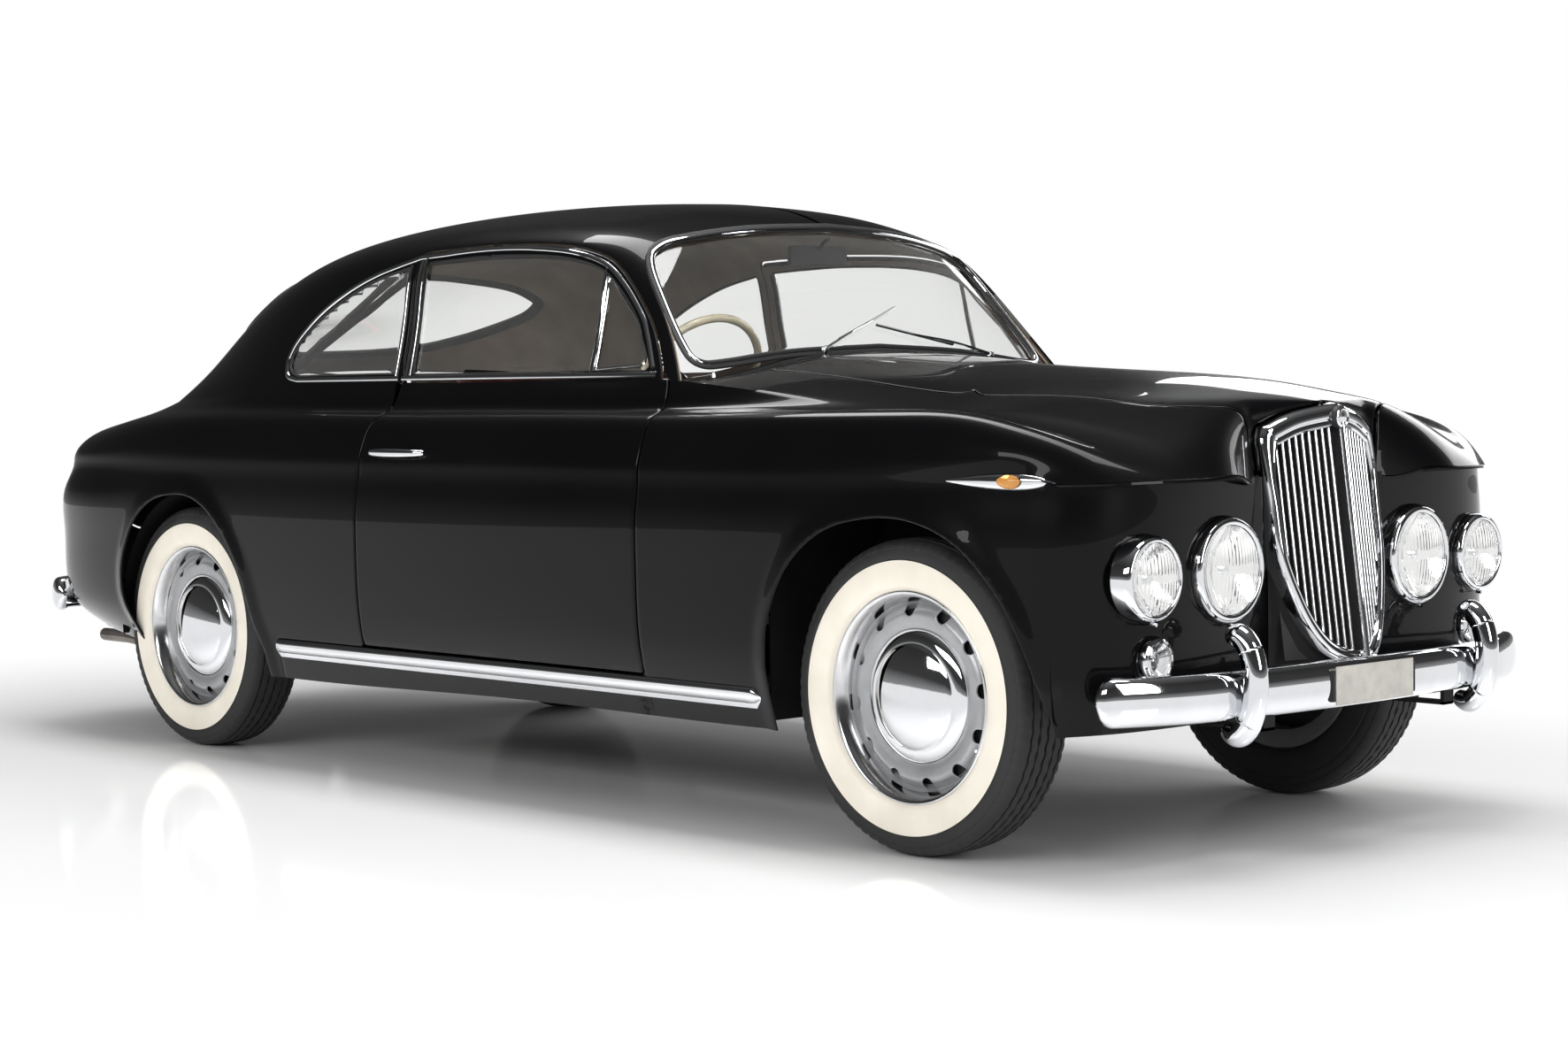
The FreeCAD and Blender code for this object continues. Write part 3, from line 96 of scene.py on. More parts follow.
# Bonnet ribs: plan point, then points from the belt line in to the centre
DECK = [
    (5, (2050, 330, 819), (2046, 225, 806), (2030, 110, 900), (2016, 0, 962)),
    (6, (1992, 385, 905), (2003, 262, 925), (2006, 130, 950), (2006, 0, 968)),
    (7, (1830, 435, 960), (1858, 295, 981), (1880, 148, 995), (1886, 0, 999)),
    (8, (1450, 430, 992), (1455, 300, 1015), (1458, 150, 1036), (1460, 0, 1044)),
    (9, (1050, 460, 1026), (1050, 310, 1048), (1050, 155, 1064), (1050, 0, 1070)),
    (10, (660, 520, 1050), (660, 350, 1078), (660, 175, 1095), (660, 0, 1100))]

# Greenhouse ribs: plan point, then points from the belt line up to the roof's centre line
ROOF = [
    (10, (548, 628, 1180), (418, 574, 1332), (418, 430, 1386), (452, 220, 1410), (467, 0, 1413)),
    (11, (100, 650, 1210), (100, 604, 1378), (110, 440, 1446), (125, 225, 1482), (130, 0, 1493)),
    (12, (-500, 650, 1210), (-500, 602, 1376), (-490, 445, 1452), (-480, 225, 1493), (-475, 0, 1506)),
    (13, (-1000, 634, 1190), (-985, 574, 1332), (-960, 430, 1415), (-935, 215, 1458), (-925, 0, 1471)),
    (14, (-1395, 582, 1120), (-1370, 508, 1242), (-1330, 384, 1336), (-1290, 195, 1390), (-1275, 0, 1406)),
    (15, (-1700, 485, 1070), (-1650, 405, 1160), (-1590, 300, 1240), (-1530, 155, 1290), (-1505, 0, 1306)),
    (17, (-1885, 370, 1045), (-1810, 300, 1120), (-1740, 220, 1180), (-1675, 112, 1222), (-1650, 0, 1238)),
    (19, (-1995, 215, 1066), (-1915, 172, 1124), (-1840, 127, 1168), (-1775, 65, 1196), (-1750, 0, 1206)),
    (21, (-2055, 0, 1080), (-1985, 0, 1116), (-1925, 0, 1145), (-1865, 0, 1170), (-1810, 0, 1190))]

# Spacing of the points up each kind of rib, in tenths of a metre
LOWER_STEPS = [0.0, 1.5, 3.5, 4.9, 5.6]
SHOULDER_STEPS = [0.0, 0.7, 1.5, 2.1, 2.8]
DECK_STEPS = [0.0, 1.2, 2.5, 3.9, 5.4]
ROOF_STEPS = [0.0, 1.6, 3.3, 5.0, 7.2, 9.4]
LEVEL_AT_WAIST = (0, 0, 100)
LEVEL_AT_CENTRE = (0, -110, 0)


class Spline:
    """Cubic spline through rows of numbers, natural or with given end slopes."""

    def __init__(self, knots, rows, start=None, end=None):
        n = len(knots)
        self.knots, self.rows = knots, rows
        gap = [b - a for a, b in zip(knots, knots[1:])]
        low, diag, high = [0.0]*n, [1.0]*n, [0.0]*n
        right = [[0.0]*len(rows[0]) for _ in rows]
        rise = [[(q - p)/g for p, q in zip(a, b)] for a, b, g in zip(rows, rows[1:], gap)]
        for i in range(1, n - 1):
            low[i], diag[i], high[i] = gap[i-1], 2*(gap[i-1] + gap[i]), gap[i]
            right[i] = [6*(q - p) for p, q in zip(rise[i-1], rise[i])]
        if start:
            diag[0], high[0] = 2*gap[0], gap[0]
            right[0] = [6*(q - p) for p, q in zip(start, rise[0])]
        if end:
            low[-1], diag[-1] = gap[-1], 2*gap[-1]
            right[-1] = [6*(q - p) for p, q in zip(rise[-1], end)]
        for i in range(1, n):
            f = low[i]/diag[i-1]
            diag[i] -= f*high[i-1]
            right[i] = [b - f*a for a, b in zip(right[i-1], right[i])]
        self.bend = [None]*n
        self.bend[-1] = [b/diag[-1] for b in right[-1]]
        for i in range(n - 2, -1, -1):
            self.bend[i] = [(b - high[i]*c)/diag[i] for b, c in zip(right[i], self.bend[i+1])]

    def at(self, t):
        k = self.knots
        i = max(0, min(len(k) - 2, sum(1 for a in k[1:-1] if t >= a)))
        g = k[i+1] - k[i]
        a, b = (k[i+1] - t)/g, (t - k[i])/g
        c, d = (a**3 - a)*g*g/6, (b**3 - b)*g*g/6
        return [a*p + b*q + c*m + d*n for p, q, m, n in
                zip(self.rows[i], self.rows[i+1], self.bend[i], self.bend[i+1])]


def chord_lengths(points):
    out = [0.0]
    for a, b in zip(points, points[1:]):
        out.append(out[-1] + math.dist(a, b))
    return out


STATIONS = chord_lengths(PLAN)
PLAN_LINE = Spline(STATIONS, [list(p) for p in PLAN])
LEVEL_LINE = Spline([STATIONS[r[0]] for r in LEVELS], [list(r[1:]) for r in LEVELS])


def lower_points(s):
    """Points of the rib below the waist at station s."""
    edge, *insets = LEVEL_LINE.at(s)
    x, y = PLAN_LINE.at(s)
    a = PLAN_LINE.at(max(STATIONS[0], s - 2))
    b = PLAN_LINE.at(min(STATIONS[-1], s + 2))
    length = math.dist(a, b)
    nx, ny = (b[1] - a[1])/length, (a[0] - b[0])/length
    return [[x - nx*i, y - ny*i, z] for i, z in zip(insets, [edge] + LEVEL_HEIGHTS)]


def waist(s):
    return lower_points(s)[-1]


def offsets(table, base):
    """Spline along the car of each rib's points, measured from the rib's first point."""
    rows = []
    for i, *points in table:
        o = base(STATIONS[i])
        rows.append([a - b for p in points for a, b in zip(p, o)])
    return Spline([STATIONS[r[0]] for r in table], rows)


SHOULDER_LINE = offsets([(r[0], *r[2:]) for r in SHOULDER], waist)
LEAVE_LINE = Spline([STATIONS[r[0]] for r in SHOULDER], [list(r[1]) for r in SHOULDER])


def lower_rib(s):
    return Spline(LOWER_STEPS, lower_points(s), end=LEVEL_AT_WAIST)


def rib(steps, base, line, s, **ends):
    off = line.at(s)
    points = [base] + [[b + d for b, d in zip(base, off[j:j+3])] for j in range(0, len(off), 3)]
    return Spline(steps, points, **ends)


def shoulder_rib(s):
    return rib(SHOULDER_STEPS, waist(s), SHOULDER_LINE, s, start=LEAVE_LINE.at(s))


def belt(s):
    return shoulder_rib(s).at(SHOULDER_STEPS[-1])


DECK_LINE = offsets(DECK, belt)
ROOF_LINE = offsets(ROOF, belt)


def deck_rib(s):
    return rib(DECK_STEPS, belt(s), DECK_LINE, s, end=LEVEL_AT_CENTRE)


def roof_rib(s):
    return rib(ROOF_STEPS, belt(s), ROOF_LINE, s)


def station_at(x):
    """Station along the plan line whose widest point has the given X."""
    a, b = STATIONS[0], STATIONS[TAIL]
    for _ in range(40):
        m = (a + b)/2
        if PLAN_LINE.at(m)[0] > x:
            a = m
        else:
            b = m
    return (a + b)/2


# ---- Sheets of points cut by outlines ----

class Sheet:
    """Points in millimetres with their outward normals and the faces between them."""

    def __init__(self, points, normals, faces):
        self.points, self.normals, self.faces = points, normals, faces

    def cut(self, depth, keep_all=False):
        """Cut where depth, one number a point, changes sign, and keep the positive side."""
        depth = np.where(np.abs(depth) < 0.2, 0.0, depth)
        points, normals = list(self.points), list(self.normals)
        made, faces = {}, []
        for face in self.faces:
            values = [depth[i] for i in face]
            if min(values) >= 0:
                if max(values) > 0 or keep_all:
                    faces.append(face)
                continue
            if max(values) <= 0:
                if keep_all:
                    faces.append(face)
                continue
            inside, outside = [], []
            for i, a in enumerate(face):
                b = face[(i + 1) % len(face)]
                if depth[a] >= 0:
                    inside.append(a)
                if depth[a] <= 0:
                    outside.append(a)
                if depth[a]*depth[b] < 0:
                    key = (min(a, b), max(a, b))
                    if key not in made:
                        t = depth[key[0]]/(depth[key[0]] - depth[key[1]])
                        made[key] = len(points)
                        points.append(points[key[0]]*(1 - t) + points[key[1]]*t)
                        normals.append(normals[key[0]]*(1 - t) + normals[key[1]]*t)
                    inside.append(made[key])
                    outside.append(made[key])
            if len(inside) > 2:
                faces.append(inside)
            if keep_all and len(outside) > 2:
                faces.append(outside)
        self.points, self.normals, self.faces = np.array(points), np.array(normals), faces

    def tidy(self):
        used = sorted({i for f in self.faces for i in f})
        new = {old: k for k, old in enumerate(used)}
        self.points, self.normals = self.points[used], self.normals[used]
        self.faces = [[new[i] for i in f] for f in self.faces]


class Outline:
    """Closed outline in one of the car's planes; depth() is positive inside it."""

    def __init__(self, points, axes, low=None, high=None, along=0):
        self.points = np.array(points, float)
        self.axes, self.low, self.high, self.along = axes, low, high, along

    def depth(self, p):
        q = p[:, self.axes]
        a = self.points
        b = np.roll(a, -1, axis=0)
        best = np.full(len(q), 1e9)
        inside = np.zeros(len(q), bool)
        for (ax, ay), (bx, by) in zip(a, b):
            dx, dy = bx - ax, by - ay
            t = np.clip(((q[:, 0] - ax)*dx + (q[:, 1] - ay)*dy)/(dx*dx + dy*dy + 1e-12), 0, 1)
            best = np.minimum(best, np.hypot(q[:, 0] - ax - t*dx, q[:, 1] - ay - t*dy))
            cross = (ay > q[:, 1]) != (by > q[:, 1])
            x = ax + (q[:, 1] - ay)*dx/(dy if abs(dy) > 1e-12 else 1e-12)
            inside ^= cross & (q[:, 0] < x)
        d = np.where(inside, best, -best)
        where = p[:, self.along]
        if self.low is not None:
            d = np.where(where < self.low, -1e3, d)
        if self.high is not None:
            d = np.where(where > self.high, -1e3, d)
        return d


def rows_of(rib, low, high, count):
    return (rib, [low + (high - low)*i/(count - 1) for i in range(count)])


def grid_faces(rows, cols, round_rows=False, round_cols=False, turned=False):
    """Faces of a grid with cols points a row; either direction can close on itself."""
    faces = []
    for i in range(rows if round_rows else rows - 1):
        a, b = i*cols, (i + 1) % rows*cols
        for k in range(cols if round_cols else cols - 1):
            m = (k + 1) % cols
            if turned:
                faces.append([a + k, a + m, b + m, b + k])
            else:
                faces.append([a + k, b + k, b + m, a + m])
    return faces


def grid_ends(rows, cols):
    """Faces that close the first and the last row."""
    return [list(range(cols)), [(rows - 1)*cols + k for k in range(cols)][::-1]]


def handed(faces, sign):
    return faces if sign > 0 else [f[::-1] for f in faces]


def second_layer(faces, count):
    """The faces again for a second layer of points, which starts at count, turned over."""
    return [[i + count for i in f][::-1] for f in faces]


def rim_between(faces, count):
    """Faces that join the open edges of a layer to those of its second layer."""
    edges = {(a, b): True for f in faces for a, b in zip(f, f[1:] + f[:1])}
    return [[b, a, a + count, b + count] for a, b in edges if (b, a) not in edges]


def sheet_of(stations, parts):
    """Sheet on the body's left surface, with its ribs at the stations."""
    grid = []
    for s in stations:
        row = []
        for k, (rib_at, marks) in enumerate(parts):
            line = rib_at(s)
            row += [line.at(v) for v in (marks[1:] if k else marks)]
        grid.append(row)
    grid = np.array(grid)
    grid[:, :, 1] = np.maximum(grid[:, :, 1], 0.0)
    ds = np.gradient(grid, axis=0)
    dv = np.gradient(grid, axis=1)
    normals = np.cross(ds, dv)
    size = np.linalg.norm(normals, axis=2)
    size[size == 0] = 1
    normals = normals/size[:, :, None]
    n, m = grid.shape[:2]
    return Sheet(grid.reshape(-1, 3), normals.reshape(-1, 3), grid_faces(n, m))


def spread(a, b, step):
    """Stations from a to b about step apart."""
    n = max(2, int(math.ceil((b - a)/step)) + 1)
    return [a + (b - a)*i/(n - 1) for i in range(n)]


ROLL = 3.0


def trim(sheet, keep=(), drop=(), roll=ROLL):
    """Cut a sheet to the outlines and roll its new edges over."""
    def depth(points):
        d = np.full(len(points), 1e3)
        for outline, grow in keep:
            d = np.minimum(d, outline.depth(points) + grow)
        for outline, grow in drop:
            d = np.minimum(d, -outline.depth(points) - grow)
        return d
    for level in (roll, roll*0.45, roll*0.12):
        sheet.cut(depth(sheet.points) - level, keep_all=True)
    sheet.cut(depth(sheet.points))
    sheet.tidy()
    d = np.clip(depth(sheet.points), 0, roll)
    sink = roll - np.sqrt(np.maximum(roll**2 - (roll - d)**2, 0))
    sheet.points = sheet.points - sheet.normals*sink[:, None]
    return sheet


def mirror_sheet(sheet):
    flip = np.array([1, -1, 1.0])
    return Sheet(sheet.points*flip, sheet.normals*flip, [f[::-1] for f in sheet.faces])


def new_object(name, points, faces):
    mesh = bpy.data.meshes.new(name)
    mesh.from_pydata([M(p) for p in points], [], faces)
    mesh.update()
    mesh.validate()
    mesh.polygons.foreach_set("use_smooth", [True]*len(mesh.polygons))
    obj = bpy.data.objects.new(name, mesh)
    bpy.context.scene.collection.objects.link(obj)
    return obj


def finish_mesh(obj, weld=0.0, angle=35):
    mesh = obj.data
    bm = bmesh.new()
    bm.from_mesh(mesh)
    if weld:
        bmesh.ops.remove_doubles(bm, verts=bm.verts, dist=weld/1000)
    bmesh.ops.recalc_face_normals(bm, faces=bm.faces)
    bm.to_mesh(mesh)
    bm.free()
    mesh.polygons.foreach_set("use_smooth", [True]*len(mesh.polygons))
    mesh.set_sharp_from_angle(angle=math.radians(angle))
    return obj


def panel(name, sheets, thickness=6.0, body="body", nodes=(), materials=(), sideways=False, weld=0.08):
    """Closed panel from one or more sheets; its inner side takes the second material."""
    bm = bmesh.new()
    for sheet in sheets:
        verts = [bm.verts.new(p) for p in sheet.points]
        for f in sheet.faces:
            if len(set(f)) > 2:
                try:
                    bm.faces.new([verts[i] for i in dict.fromkeys(f)])
                except ValueError:
                    pass
    bmesh.ops.remove_doubles(bm, verts=bm.verts, dist=weld)
    bmesh.ops.dissolve_degenerate(bm, edges=bm.edges, dist=0.02)
    bmesh.ops.delete(bm, geom=[v for v in bm.verts if not v.link_faces], context="VERTS")
    bm.normal_update()
    bm.verts.index_update()
    points = [tuple(v.co) for v in bm.verts]
    faces = [[v.index for v in f.verts] for f in bm.faces]
    if sideways:
        inner = [(v.co.x, v.co.y - math.copysign(thickness, v.co.y), v.co.z) for v in bm.verts]
    else:
        inner = [tuple(v.co - v.normal*thickness) for v in bm.verts]
    bm.free()
    n = len(points)
    obj = new_object(name, points + inner, faces + second_layer(faces, n) + rim_between(faces, n))
    for m in materials:
        obj.data.materials.append(m)
    if len(materials) > 1:
        for poly in obj.data.polygons[len(faces):2*len(faces)]:
            poly.material_index = 1
    obj.data.set_sharp_from_angle(angle=math.radians(40))
    return dress(obj, None, body, nodes)


def dress(obj, material=None, body="body", nodes=()):
    """Give a piece its finish, the slot that the finish carries, its body and the nodes it replaces."""
    if material:
        obj.data.materials.clear()
        obj.data.materials.append(material)
    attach(obj, body)
    if nodes:
        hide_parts(*nodes)
    return obj


def curve_through(points, steps=8):
    """Catmull-Rom curve through points of any dimension."""
    p = [np.array(q, float) for q in points]
    out = []
    for i in range(len(p) - 1):
        a, b = p[i], p[i + 1]
        before = p[i - 1] if i > 0 else 2*a - b
        after = p[i + 2] if i < len(p) - 2 else 2*b - a
        for k in range(steps):
            t = k/steps
            out.append(0.5*(2*a + (b - before)*t + (2*before - 5*a + 4*b - after)*t*t
                            + (3*a - before - 3*b + after)*t**3))
    return out + [p[-1]]


def rounded(points, radius, steps=6):
    """Closed outline with its corners rounded."""
    p = [np.array(q, float) for q in points]
    out = []
    for i, b in enumerate(p):
        u, v = p[i - 1] - b, p[(i + 1) % len(p)] - b
        lu, lv = np.linalg.norm(u), np.linalg.norm(v)
        u, v = u/lu, v/lv
        angle = math.acos(max(-1, min(1, float(u @ v))))
        if angle > math.pi - 0.02:
            out.append(b)
            continue
        reach = min(radius/math.tan(angle/2), 0.48*lu, 0.48*lv)
        for k in range(steps + 1):
            t = k/steps
            out.append((b + u*reach)*(1 - t)**2 + b*2*t*(1 - t) + (b + v*reach)*t*t)
    return out


def bar(path, radius, sides=12, closed=False, squash=1.0, taper=None, normal=None):
    """(points, faces) of a round or flattened bar along a path; normal turns its flat side."""
    p = [np.array(q, float) for q in path]
    n = len(p)
    points = []
    for i in range(n):
        a = p[i - 1] if closed or i > 0 else p[i]
        b = p[(i + 1) % n] if closed or i < n - 1 else p[i]
        t = b - a
        t = t/(np.linalg.norm(t) + 1e-9)
        if normal is None:
            up = np.array([0, 0, 1.0]) if abs(t[2]) < 0.9 else np.array([0, 1.0, 0])
        else:
            up = np.array(normal[i] if hasattr(normal[0], "__len__") else normal, float)
        side = np.cross(t, up)
        side = side/(np.linalg.norm(side) + 1e-9)
        up = np.cross(side, t)
        r = radius*(taper(i/(n - 1)) if taper else 1.0)
        for k in range(sides):
            w = 2*math.pi*k/sides
            points.append(p[i] + side*math.cos(w)*r + up*math.sin(w)*r*squash)
    faces = grid_faces(n, sides, closed, True)
    return points, faces if closed else faces + grid_ends(n, sides)


def merged(name, parts, material=None, body="body", nodes=(), angle=35, weld=0.0):
    """One object from several (points, faces) pairs."""
    points, faces = [], []
    for some_points, some_faces in parts:
        faces += [[i + len(points) for i in f] for f in some_faces]
        points += list(some_points)
    obj = finish_mesh(new_object(name, points, faces), weld, angle)
    return dress(obj, material, body, nodes)


def tube(name, path, radius, material=None, body="body", nodes=(), **shape):
    return merged(name, [bar(path, radius, **shape)], material, body, nodes)


def spun(section, centre, outward, count=96, closed=False):
    """(points, faces) of an (across, radius) section turned about a line along Y."""
    points = []
    for k in range(count):
        w = 2*math.pi*k/count
        points += [(centre[0] + r*math.cos(w), centre[1] + outward*a, centre[2] + r*math.sin(w))
                   for a, r in section]
    return points, grid_faces(count, len(section), True, closed)


def spun_x(section, centre, count=64, forward=1):
    """(points, faces) of an (along, radius) section turned about a line along X."""
    points, faces = spun(section, (0, 0, 0), 1, count)
    return [(centre[0] + forward*y, centre[1] + x, centre[2] + z) for x, y, z in points], faces


def flipped(part):
    points, faces = part
    return [(p[0], -p[1], p[2]) for p in points], [f[::-1] for f in faces]


def both(part):
    return [part, flipped(part)]


# ---- Materials ----

class Graph:
    """A node tree whose nodes are added with their inputs, which are numbers or linked sockets."""

    def __init__(self, tree):
        self.nodes, self.links = tree.nodes, tree.links

    def feed(self, made, inputs):
        for key, value in inputs.items():
            if isinstance(value, bpy.types.NodeSocket):
                self.links.new(value, made.inputs[key])
            else:
                made.inputs[key].default_value = value

    def add(self, kind, inputs=None, **settings):
        made = self.nodes.new("ShaderNode" + kind)
        for key, value in settings.items():
            setattr(made, key, value)
        self.feed(made, inputs or {})
        return made

    def either(self, a, b):
        return self.add("Math", {0: a, 1: b}, operation="MAXIMUM").outputs[0]


def material(name, slot=None):
    m = bpy.data.materials.new(name)
    m.use_nodes = True
    if slot:
        m["slot"] = slot
    graph = Graph(m.node_tree)
    return m, graph, graph.nodes["Principled BSDF"]


def clouds(graph, shader, scale, low, high, ends=(0.0, 1.0), **noise):
    """Feed the base colour from a cloudy noise; gives back the object coordinates and the noise."""
    coords = graph.add("TexCoord").outputs["Object"]
    cloud = graph.add("TexNoise", {"Scale": scale, "Vector": coords, **noise}).outputs["Fac"]
    ramp = graph.add("ValToRGB", {"Fac": cloud})
    for element, place, colour in zip(ramp.color_ramp.elements, ends, (low, high)):
        element.position, element.color = place, (*colour, 1)
    graph.feed(shader, {"Base Color": ramp.outputs["Color"]})
    return coords, cloud


def surface(name, colour, roughness, slot, metal=0.0, coat=0.0, coat_rough=0.03, vary=0.15, scale=8.0,
            rough_vary=0.25, bump=0.0, bump_scale=300.0, bump_kind="Noise", sheen=0.0, second=None,
            coat_ior=1.5, level=0.5):
    """Finish with cloudy colour, uneven roughness and fine relief."""
    m, graph, shader = material(name, slot)
    light = [min(1, c*(1 + vary)) for c in (second or colour)]
    coords, cloud = clouds(graph, shader, scale, [c*(1 - vary) for c in colour], light, (0.3, 0.7), Detail=5)
    span = graph.add("MapRange", {"To Min": roughness*(1 - rough_vary), "To Max": roughness*(1 + rough_vary),
                                  "Value": cloud})
    graph.feed(shader, {"Roughness": span.outputs["Result"], "Metallic": metal, "Coat Weight": coat,
                        "Coat Roughness": coat_rough, "Sheen Weight": sheen, "IOR": 1.5, "Coat IOR": coat_ior,
                        "Specular IOR Level": level})
    if bump:
        relief = graph.add("Tex" + bump_kind, {"Scale": bump_scale, "Vector": coords})
        height = relief.outputs["Distance" if bump_kind == "Voronoi" else "Fac"]
        made = graph.add("Bump", {"Strength": bump, "Distance": 0.001, "Height": height})
        graph.feed(shader, {"Normal": made.outputs["Normal"]})
    return m


def glass(name, colour, slot, roughness=0.0):
    m, graph, shader = material(name, slot)
    clouds(graph, shader, 3.0, [c*0.96 for c in colour], colour)
    graph.feed(shader, {"Transmission Weight": 1.0, "Roughness": roughness, "IOR": 1.45})
    return m


PAINT = surface("paint_black", (0.0022, 0.0022, 0.0026), 0.3, "body_paint", coat=1.0, coat_rough=0.015,
                vary=0.1, scale=2.0, bump=0.01, bump_scale=900.0, coat_ior=1.21, level=0.05)
UNDERCOAT = surface("undercoat_black", (0.012, 0.012, 0.012), 0.7, "chassis_paint", vary=0.3, bump=0.5,
                    bump_scale=500.0, level=0.15)
CHROME = surface("chrome", (0.76, 0.77, 0.79), 0.045, "chrome", metal=1.0, vary=0.03, scale=14.0,
                 rough_vary=0.5, bump=0.01, bump_scale=260.0)
POLISHED = surface("polished_steel", (0.66, 0.66, 0.67), 0.16, "wheel_steel", metal=1.0, vary=0.06,
                   scale=30.0, rough_vary=0.35, bump=0.02, bump_scale=420.0)
SILVER = surface("wheel_silver", (0.36, 0.365, 0.375), 0.36, "wheel_steel", metal=0.55, vary=0.08,
                 scale=24.0, rough_vary=0.2, coat=0.3, coat_rough=0.2, bump=0.03, bump_scale=700.0)
RUBBER = surface("tyre_rubber", (0.018, 0.018, 0.018), 0.72, "tyre", vary=0.25, scale=20.0, bump=0.25,
                 bump_scale=420.0)
WHITEWALL = surface("whitewall", (0.76, 0.71, 0.61), 0.5, "tyre", vary=0.05, scale=7.0, bump=0.04,
                    second=(0.80, 0.755, 0.66))
SEAL = surface("rubber_seal", (0.012, 0.012, 0.012), 0.6, "body_paint", vary=0.3, scale=40.0, bump=0.15,
               bump_scale=600.0)
LEATHER = surface("seat_leather", (0.055, 0.014, 0.010), 0.42, "seat_leather", vary=0.3, scale=14.0,
                  rough_vary=0.3, bump=0.35, bump_scale=520.0, bump_kind="Voronoi",
                  second=(0.085, 0.024, 0.017))
PIPING = surface("seat_piping", (0.09, 0.03, 0.022), 0.4, "seat_leather", vary=0.2, scale=30.0, bump=0.2,
                 bump_scale=700.0, bump_kind="Voronoi")
LINING = surface("headlining", (0.27, 0.21, 0.155), 0.92, "seat_leather", vary=0.12, scale=9.0, sheen=0.3,
                 bump=0.4, bump_scale=1400.0, second=(0.33, 0.265, 0.20))
CARPET = surface("carpet", (0.035, 0.014, 0.011), 0.95, "seat_leather", vary=0.4, scale=60.0, sheen=0.4,
                 bump=0.8, bump_scale=900.0)
DASH = surface("dash_trim", (0.030, 0.013, 0.008), 0.3, "dash_trim", vary=0.35, scale=18.0, coat=0.5,
               coat_rough=0.12, bump=0.1, bump_scale=200.0, bump_kind="Wave")
CREAM = surface("wheel_rim_plastic", (0.62, 0.54, 0.38), 0.28, "wheel_rim_plastic", vary=0.06, scale=20.0,
                coat=0.5, coat_rough=0.08, bump=0.02)
IRON = surface("engine_iron", (0.10, 0.105, 0.11), 0.55, "engine_iron", metal=0.4, vary=0.3, scale=22.0,
               bump=0.4, bump_scale=240.0)
PIPE = surface("pipe_steel", (0.22, 0.20, 0.18), 0.5, "pipe_steel", metal=0.8, vary=0.35, scale=12.0,
               bump=0.15)
REFLECTOR = surface("lamp_reflector", (0.92, 0.92, 0.93), 0.06, "lamp_chrome", metal=1.0, vary=0.02,
                    scale=20.0)
WINDOW = glass("window_glass", (0.965, 0.972, 0.962), "window_glass")
LENS = glass("lamp_glass", (0.97, 0.97, 0.96), "lamp_glass", 0.03)
AMBER = glass("amber_glass", (0.95, 0.42, 0.10), "lamp_glass", 0.12)
RED = glass("red_glass", (0.55, 0.02, 0.015), "lamp_glass", 0.1)
PLATE = surface("blank_plate", (0.42, 0.41, 0.38), 0.5, "chrome", metal=0.2, vary=0.05, scale=30.0,
                bump=1.0, bump_scale=260.0, bump_kind="Voronoi", second=(0.50, 0.48, 0.44))

# ---- Outlines of the panels, as in the part ----

DOOR_FRONT, DOOR_REAR, DOOR_BOTTOM = 628.0, -497.0, 348.0
BELT_Z = 1036.0
DOOR_LOWER = [(DOOR_FRONT, DOOR_BOTTOM), (DOOR_FRONT, BELT_Z + 4), (-431, BELT_Z + 4),
              (-453, 975), (-481, 910), (-490, 831), (DOOR_REAR, 700), (DOOR_REAR, DOOR_BOTTOM)]
DOOR_FRAME = [(606, BELT_Z - 10), (595, 1058), (560, 1110), (507, 1180), (400, 1287), (310, 1338),
              (144, 1369), (-122, 1382), (-441, 1374), (-436, BELT_Z - 10)]
DOOR_PANE = [(560, 1056), (500, 1135), (470, 1180), (385, 1262), (300, 1312), (140, 1343),
             (-122, 1356), (-408, 1348), (-400, 1056)]
QUARTER_PANE = [(-470, 1058), (-474, 1340), (-620, 1312), (-757, 1268), (-880, 1212), (-966, 1150),
                (-996, 1100), (-975, 1068), (-930, 1056)]
FRONT_ARCH = [(1062, 200), (1063, 397), (1085, 505), (1150, 620), (1260, 700), (1400, 732),
              (1530, 726), (1650, 680), (1745, 590), (1805, 490), (1838, 400), (1856, 330), (1866, 200)]
REAR_ARCH = [(-1670, 200), (-1690, 332), (-1716, 420), (-1712, 500), (-1685, 568), (-1620, 649),
             (-1518, 707), (-1401, 726), (-1304, 719), (-1211, 680), (-1121, 603), (-1051, 500),
             (-1010, 382), (-977, 309), (-960, 200)]
BONNET_HALF = [(0, 1996), (120, 1990), (240, 1962), (330, 1915), (385, 1850), (410, 1770), (440, 1400),
               (470, 760), (440, 742), (0, 742)]
BOOT_HALF = [(0, 1078), (300, 1070), (392, 1020), (425, 900), (415, 700), (350, 590), (0, 565)]
REAR_PANE_HALF = [(0, 1136), (250, 1144), (395, 1178), (472, 1228), (488, 1266), (462, 1300), (360, 1340),
                  (170, 1363), (0, 1367)]
SCREEN_HALF = [(0, 1116), (300, 1103), (520, 1079), (590, 1078), (604, 1110), (585, 1220), (560, 1310),
               (520, 1350), (440, 1373), (250, 1398), (0, 1409)]
SCREEN_LOW, SCREEN_HIGH = (638.0, 1116.0), (466.0, 1409.0)
SCREEN_HALF_LOW, SCREEN_HALF_HIGH, SCREEN_DROP, SCREEN_SWEEP_HIGH = 609.0, 556.0, 53.0, 74.0
MAIN_LAMP, DIP_LAMP = ((2011, 342, 622), 112), ((2008, 587, 616), 89)
PARKING_LAMP, TAIL_LAMP = ((2003, 565, 448), 48), ((-2330, 560, 680), 42)
NOSE_X = 1880


def symmetric(half):
    return list(half) + [(-a, b) for a, b in half[::-1] if a > 0]


def smooth(points, steps=6):
    return [tuple(p) for p in curve_through(points, steps)]


